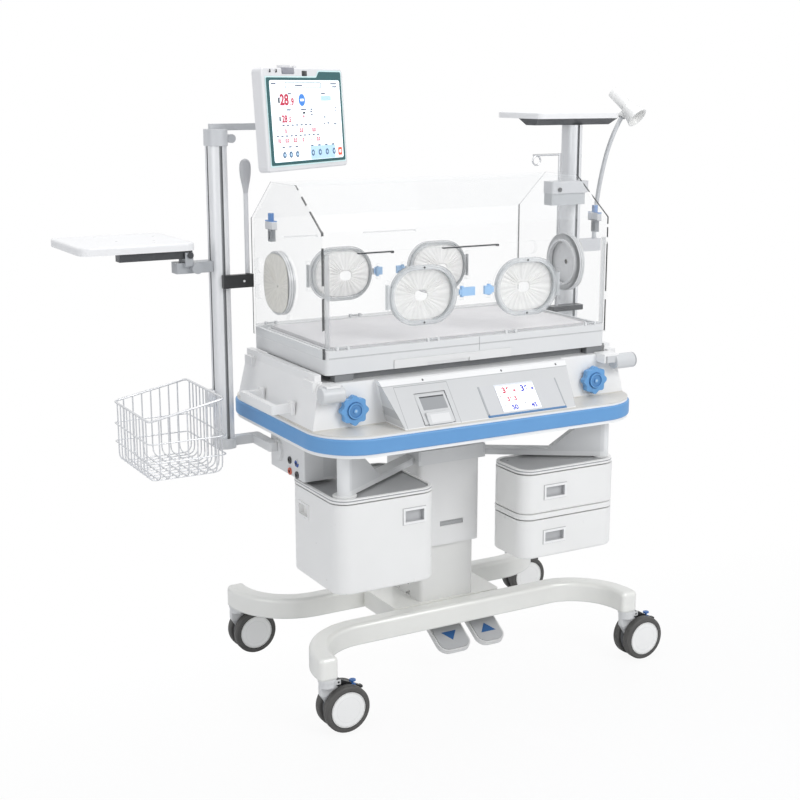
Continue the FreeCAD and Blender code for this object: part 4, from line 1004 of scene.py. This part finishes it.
monitor = {"place": (-322.4, 100.0, 1521.8), "yaw": 32.8, "tilt": 3.66}
monitorFrame = (Matrix.Translation(at(*monitor["place"]))
                @ Matrix.Rotation(math.radians(monitor["yaw"]), 4, "Z")
                @ Matrix.Rotation(math.radians(-monitor["tilt"]), 4, "X"))


def plates(name, body, paint, shapes, where):
    bm = bmesh.new()
    for shape in shapes:
        rectangle(bm, *shape[:4], shape[4], where, *shape[5:])
    return newPiece(name, bm, body, paint, smooth=False)


def digits(name, body, paint, lines, where, depth):
    bm = bmesh.new()
    for text, x, z, size, *rest in lines:
        lettering(bm, text, size, where, x, z, depth, True, rest[0] if rest else 1.0)
    return newPiece(name, bm, body, paint, smooth=False)


cyanLine = plainInk("paleCyanLine", "cfeaea", 0.4, 0.15)
tealInk = plainInk("tealBorder", "1c5b5e", 0.35, 0.05)
screenInk = plainInk("screenWhite", "eef5fb", 0.25, 0.75)
redInk = plainInk("redDigits", "c63450", 0.4, 0.15)
blueInk = plainInk("blueDigits", "2a32b8", 0.4, 0.15)
greyInk = plainInk("greyMarks", "56627a", 0.4, 0.12)
paleInk = plainInk("paleButtons", "b4d3ec", 0.4, 0.4)
darkInk = plainInk("darkMarks", "26323e", 0.4, 0.1)
orangeInk = plainInk("orangeButton", "e2573c", 0.4, 0.5)


def tealShape(bm, grow, depth):
    x0, x1, z0, z1, tab = -0.182 - grow, 0.183 + grow, -0.113 - grow, 0.1043 + grow, 0.1195 + grow
    corners = [(x0, z0), (x1, z0), (x1, tab), (0.071 - grow * 0.5, tab), (0.058 - grow * 0.5, z1), (x0, z1)]
    outlinePlate(bm, corners, depth, monitorFrame, 0.005)


cyanBm = bmesh.new()
tealShape(cyanBm, 0.0035, -0.0006)
newPiece("screenOutline", cyanBm, "monitorHead", cyanLine, smooth=False)
tealBm = bmesh.new()
tealShape(tealBm, 0.0, -0.0010)
newPiece("screenBorder", tealBm, "monitorHead", tealInk, smooth=False)
plates("screenGlass", "monitorHead", screenInk, [(-0.1686, 0.1734, -0.1054, 0.0977, -0.0014, 0.007)],
       monitorFrame)
depth = -0.00195
plates("screenButtons", "monitorHead", paleInk,
       [(0.072, 0.124, 0.045, 0.058, depth, 0.003), (-0.160, 0.160, -0.062, -0.0612, depth),
        (-0.160, 0.160, -0.008, -0.0075, depth), (-0.160, 0.160, 0.0345, 0.035, depth),
        (-0.006, -0.0055, -0.008, 0.034, depth), (0.005, 0.130, -0.1045, -0.0700, depth, 0.004)],
       monitorFrame)
# plain bars where the real screen has words, as middle, height and length
marks = [(-0.152, 0.089, 0.022), (0.141, 0.089, 0.030), (0.146, 0.081, 0.022), (-0.034, 0.085, 0.034),
         (-0.080, 0.064, 0.016), (0.085, 0.064, 0.020), (-0.088, 0.024, 0.018), (-0.017, 0.024, 0.024),
         (0.022, 0.024, 0.010), (0.020, 0.018, 0.008), (0.022, 0.011, 0.008), (0.146, 0.026, 0.005),
         (0.146, 0.019, 0.005), (0.086, 0.003, 0.010)]
marks += [(-0.118 + 0.0216 * k, -0.0145, 0.010) for k in range(7)]
marks += [(0.082, -0.0145, 0.006), (0.103, -0.013, 0.010), (0.138, -0.016, 0.014)]
marks += [(-0.148 + 0.0216 * k, -0.041, 0.010) for k in range(10)]
marks += [(x, -0.0685, 0.012) for x in (-0.124, -0.093, -0.062, 0.014, 0.050, 0.085, 0.120)]
plates("screenMarks", "monitorHead", greyInk,
       [(x - w / 2, x + w / 2, z - 0.0016, z + 0.0016, depth - 0.0003) for x, z, w in marks], monitorFrame)
rows = {-0.029: (("1", -0.146), ("0", -0.108), ("-", -0.070), ("0.0", -0.034), ("0.0", 0.028)),
        -0.031: (("-", 0.112),),
        -0.053: (("10", -0.142), ("0.0", -0.105), ("0.0", -0.066), ("0", -0.028), ("-", 0.012),
                 ("0.0", 0.047))}
redText = [("28", -0.106, 0.048, 0.037, 1.1), (".9", -0.070, 0.043, 0.025, 1.0),
           ("28", -0.110, 0.001, 0.024, 1.05), (".5", -0.086, -0.001, 0.017, 1.0)]
redText += [(text, x, z, 0.014) for z, row in rows.items() for text, x in row]
redText += [("00", -0.018, 0.006, 0.008)]
digits("screenRed", "monitorHead", redInk, redText, monitorFrame, depth - 0.0003)


def dots(name, body, paint, places, radius, where, deep):
    bm = bmesh.new()
    for x, z in places:
        rod(bm, where @ Vector((x, deep + 0.0002, z)), where @ Vector((x, deep - 0.0002, z)), radius, 20)
    return newPiece(name, bm, body, paint, smooth=False)


icons = [(-0.121, -0.088), (-0.091, -0.088), (-0.060, -0.088), (0.016, -0.0875), (0.052, -0.0872),
         (0.088, -0.087), (0.124, -0.0868)]
dots("screenIcons", "monitorHead", plainInk("slateIcons", "55708c", 0.4, 0.3), icons, 0.0082,
     monitorFrame, depth - 0.0002)
dots("screenIconHearts", "monitorHead", paleInk, icons, 0.0035, monitorFrame, depth - 0.0007)
iconBm = bmesh.new()
rod(iconBm, monitorFrame @ Vector((-0.022, depth, 0.048)),
    monitorFrame @ Vector((-0.022, depth - 0.0004, 0.048)), 0.0155, 24)
newPiece("screenDial", iconBm, "monitorHead", plainInk("dialBlue", "3f7fd0", 0.4, 0.4), smooth=False)
plates("screenDialBar", "monitorHead", screenInk, [(-0.031, -0.013, 0.045, 0.051, depth - 0.0005, 0.002)],
       monitorFrame)
plates("screenDark", "monitorHead", darkInk,
       [(-0.1345, -0.1275, 0.041, 0.055, depth - 0.0003, 0.002),
        (-0.021, -0.010, 0.013, 0.018, depth - 0.0003, 0.001),
        (-0.1345, -0.1285, -0.004, 0.008, depth - 0.0003, 0.002)], monitorFrame)
plates("screenAlarmButton", "monitorHead", orangeInk, [(0.146, 0.166, -0.099, -0.078, depth, 0.003)],
       monitorFrame)
plates("screenAlarmMark", "monitorHead", screenInk,
       [(0.1515, 0.1605, -0.0925, -0.0845, depth - 0.0004, 0.002)], monitorFrame)
pillBm = bmesh.new()
pillCorners = ((-0.097, 0.0785), (0.076, 0.0785), (0.076, 0.0925), (-0.097, 0.0925))
pillPath = [monitorFrame @ Vector((x, depth - 0.0002, z)) for x, z in pillCorners]
wirePath(pillBm, cornered(pillPath, 0.005, True), 0.0007, True, 1)
newPiece("screenPill", pillBm, "monitorHead", tealInk)

alarmBm = bmesh.new()
block(alarmBm, (-0.106, -0.0028, 0.1130), (-0.049, 0.006, 0.1295), 0.0025, 3, monitorFrame)
newPiece("alarmLamp", alarmBm, "monitorHead", moulded("alarmGlass", "8e8f98", 0.25, coat=0.5))
sensorBm = bmesh.new()
block(sensorBm, (-0.010, -0.0016, 0.1085), (0.013, 0.003, 0.1215), 0.0008, 2, monitorFrame)
newPiece("lightSensor", sensorBm, "monitorHead", moulded("sensorBlack", "141114", 0.3, coat=0.4))
hookBm = bmesh.new()
for x in (-0.163, -0.134):
    foot, tip, back, nose = [monitorFrame @ Vector((x, y, z)) for y, z in
                             ((-0.003, 0.1180), (-0.003, 0.1245), (0.003, 0.1180), (-0.0036, 0.1180))]
    rod(hookBm, foot, tip, 0.0014, 8)
    rod(hookBm, back, nose, 0.0014, 8)
newPiece("leadHooks", hookBm, "monitorHead", moulded("hookBlack", "2b2c2e", 0.4))
print("stage: monitor")


# control display on the sloped front

panel = {"foot": (0, -335, 777), "slope": math.atan2(89, 107), "window": (0.021, 0.141, 0.011, 0.087)}
panelFrame = Matrix.Translation(at(*panel["foot"])) @ Matrix.Rotation(-panel["slope"], 4, "X")
px0, px1, pz0, pz1 = panel["window"]
plates("displayGlass", "lift", plainInk("displayWhite", "f6f8fe", 0.25, 0.85),
       [(px0 + 0.002, px1 - 0.002, pz0 + 0.002, pz1 - 0.002, -0.0017, 0.0015)], panelFrame)


def onDisplay(u, v):
    return px0 + (px1 - px0) * u, pz0 + (pz1 - pz0) * v


displayRed = [("36", *onDisplay(0.25, 0.80), 0.0235), (".4", *onDisplay(0.45, 0.76), 0.015),
              ("36.3", *onDisplay(0.33, 0.46), 0.0175)]
displayBlue = [("36", *onDisplay(0.73, 0.80), 0.0235), (".4", *onDisplay(0.92, 0.76), 0.015),
               ("50", *onDisplay(0.33, 0.13), 0.019), ("45", *onDisplay(0.83, 0.13), 0.018)]
digits("displayRedDigits", "lift", redInk, displayRed, panelFrame, -0.0022)
digits("displayBlueDigits", "lift", blueInk, displayBlue, panelFrame, -0.0022)
shares = ((0.07, 0.93), (0.58, 0.93), (0.07, 0.60), (0.10, 0.25), (0.62, 0.25))
dots("displayDots", "lift", darkInk, [onDisplay(*share) for share in shares], 0.0016, panelFrame, -0.0020)
plates("displayDivide", "lift", greyInk, [(px0 + 0.004, px1 - 0.004, pz0 + 0.027, pz0 + 0.0274, -0.0020)],
       panelFrame)
print("stage: display")
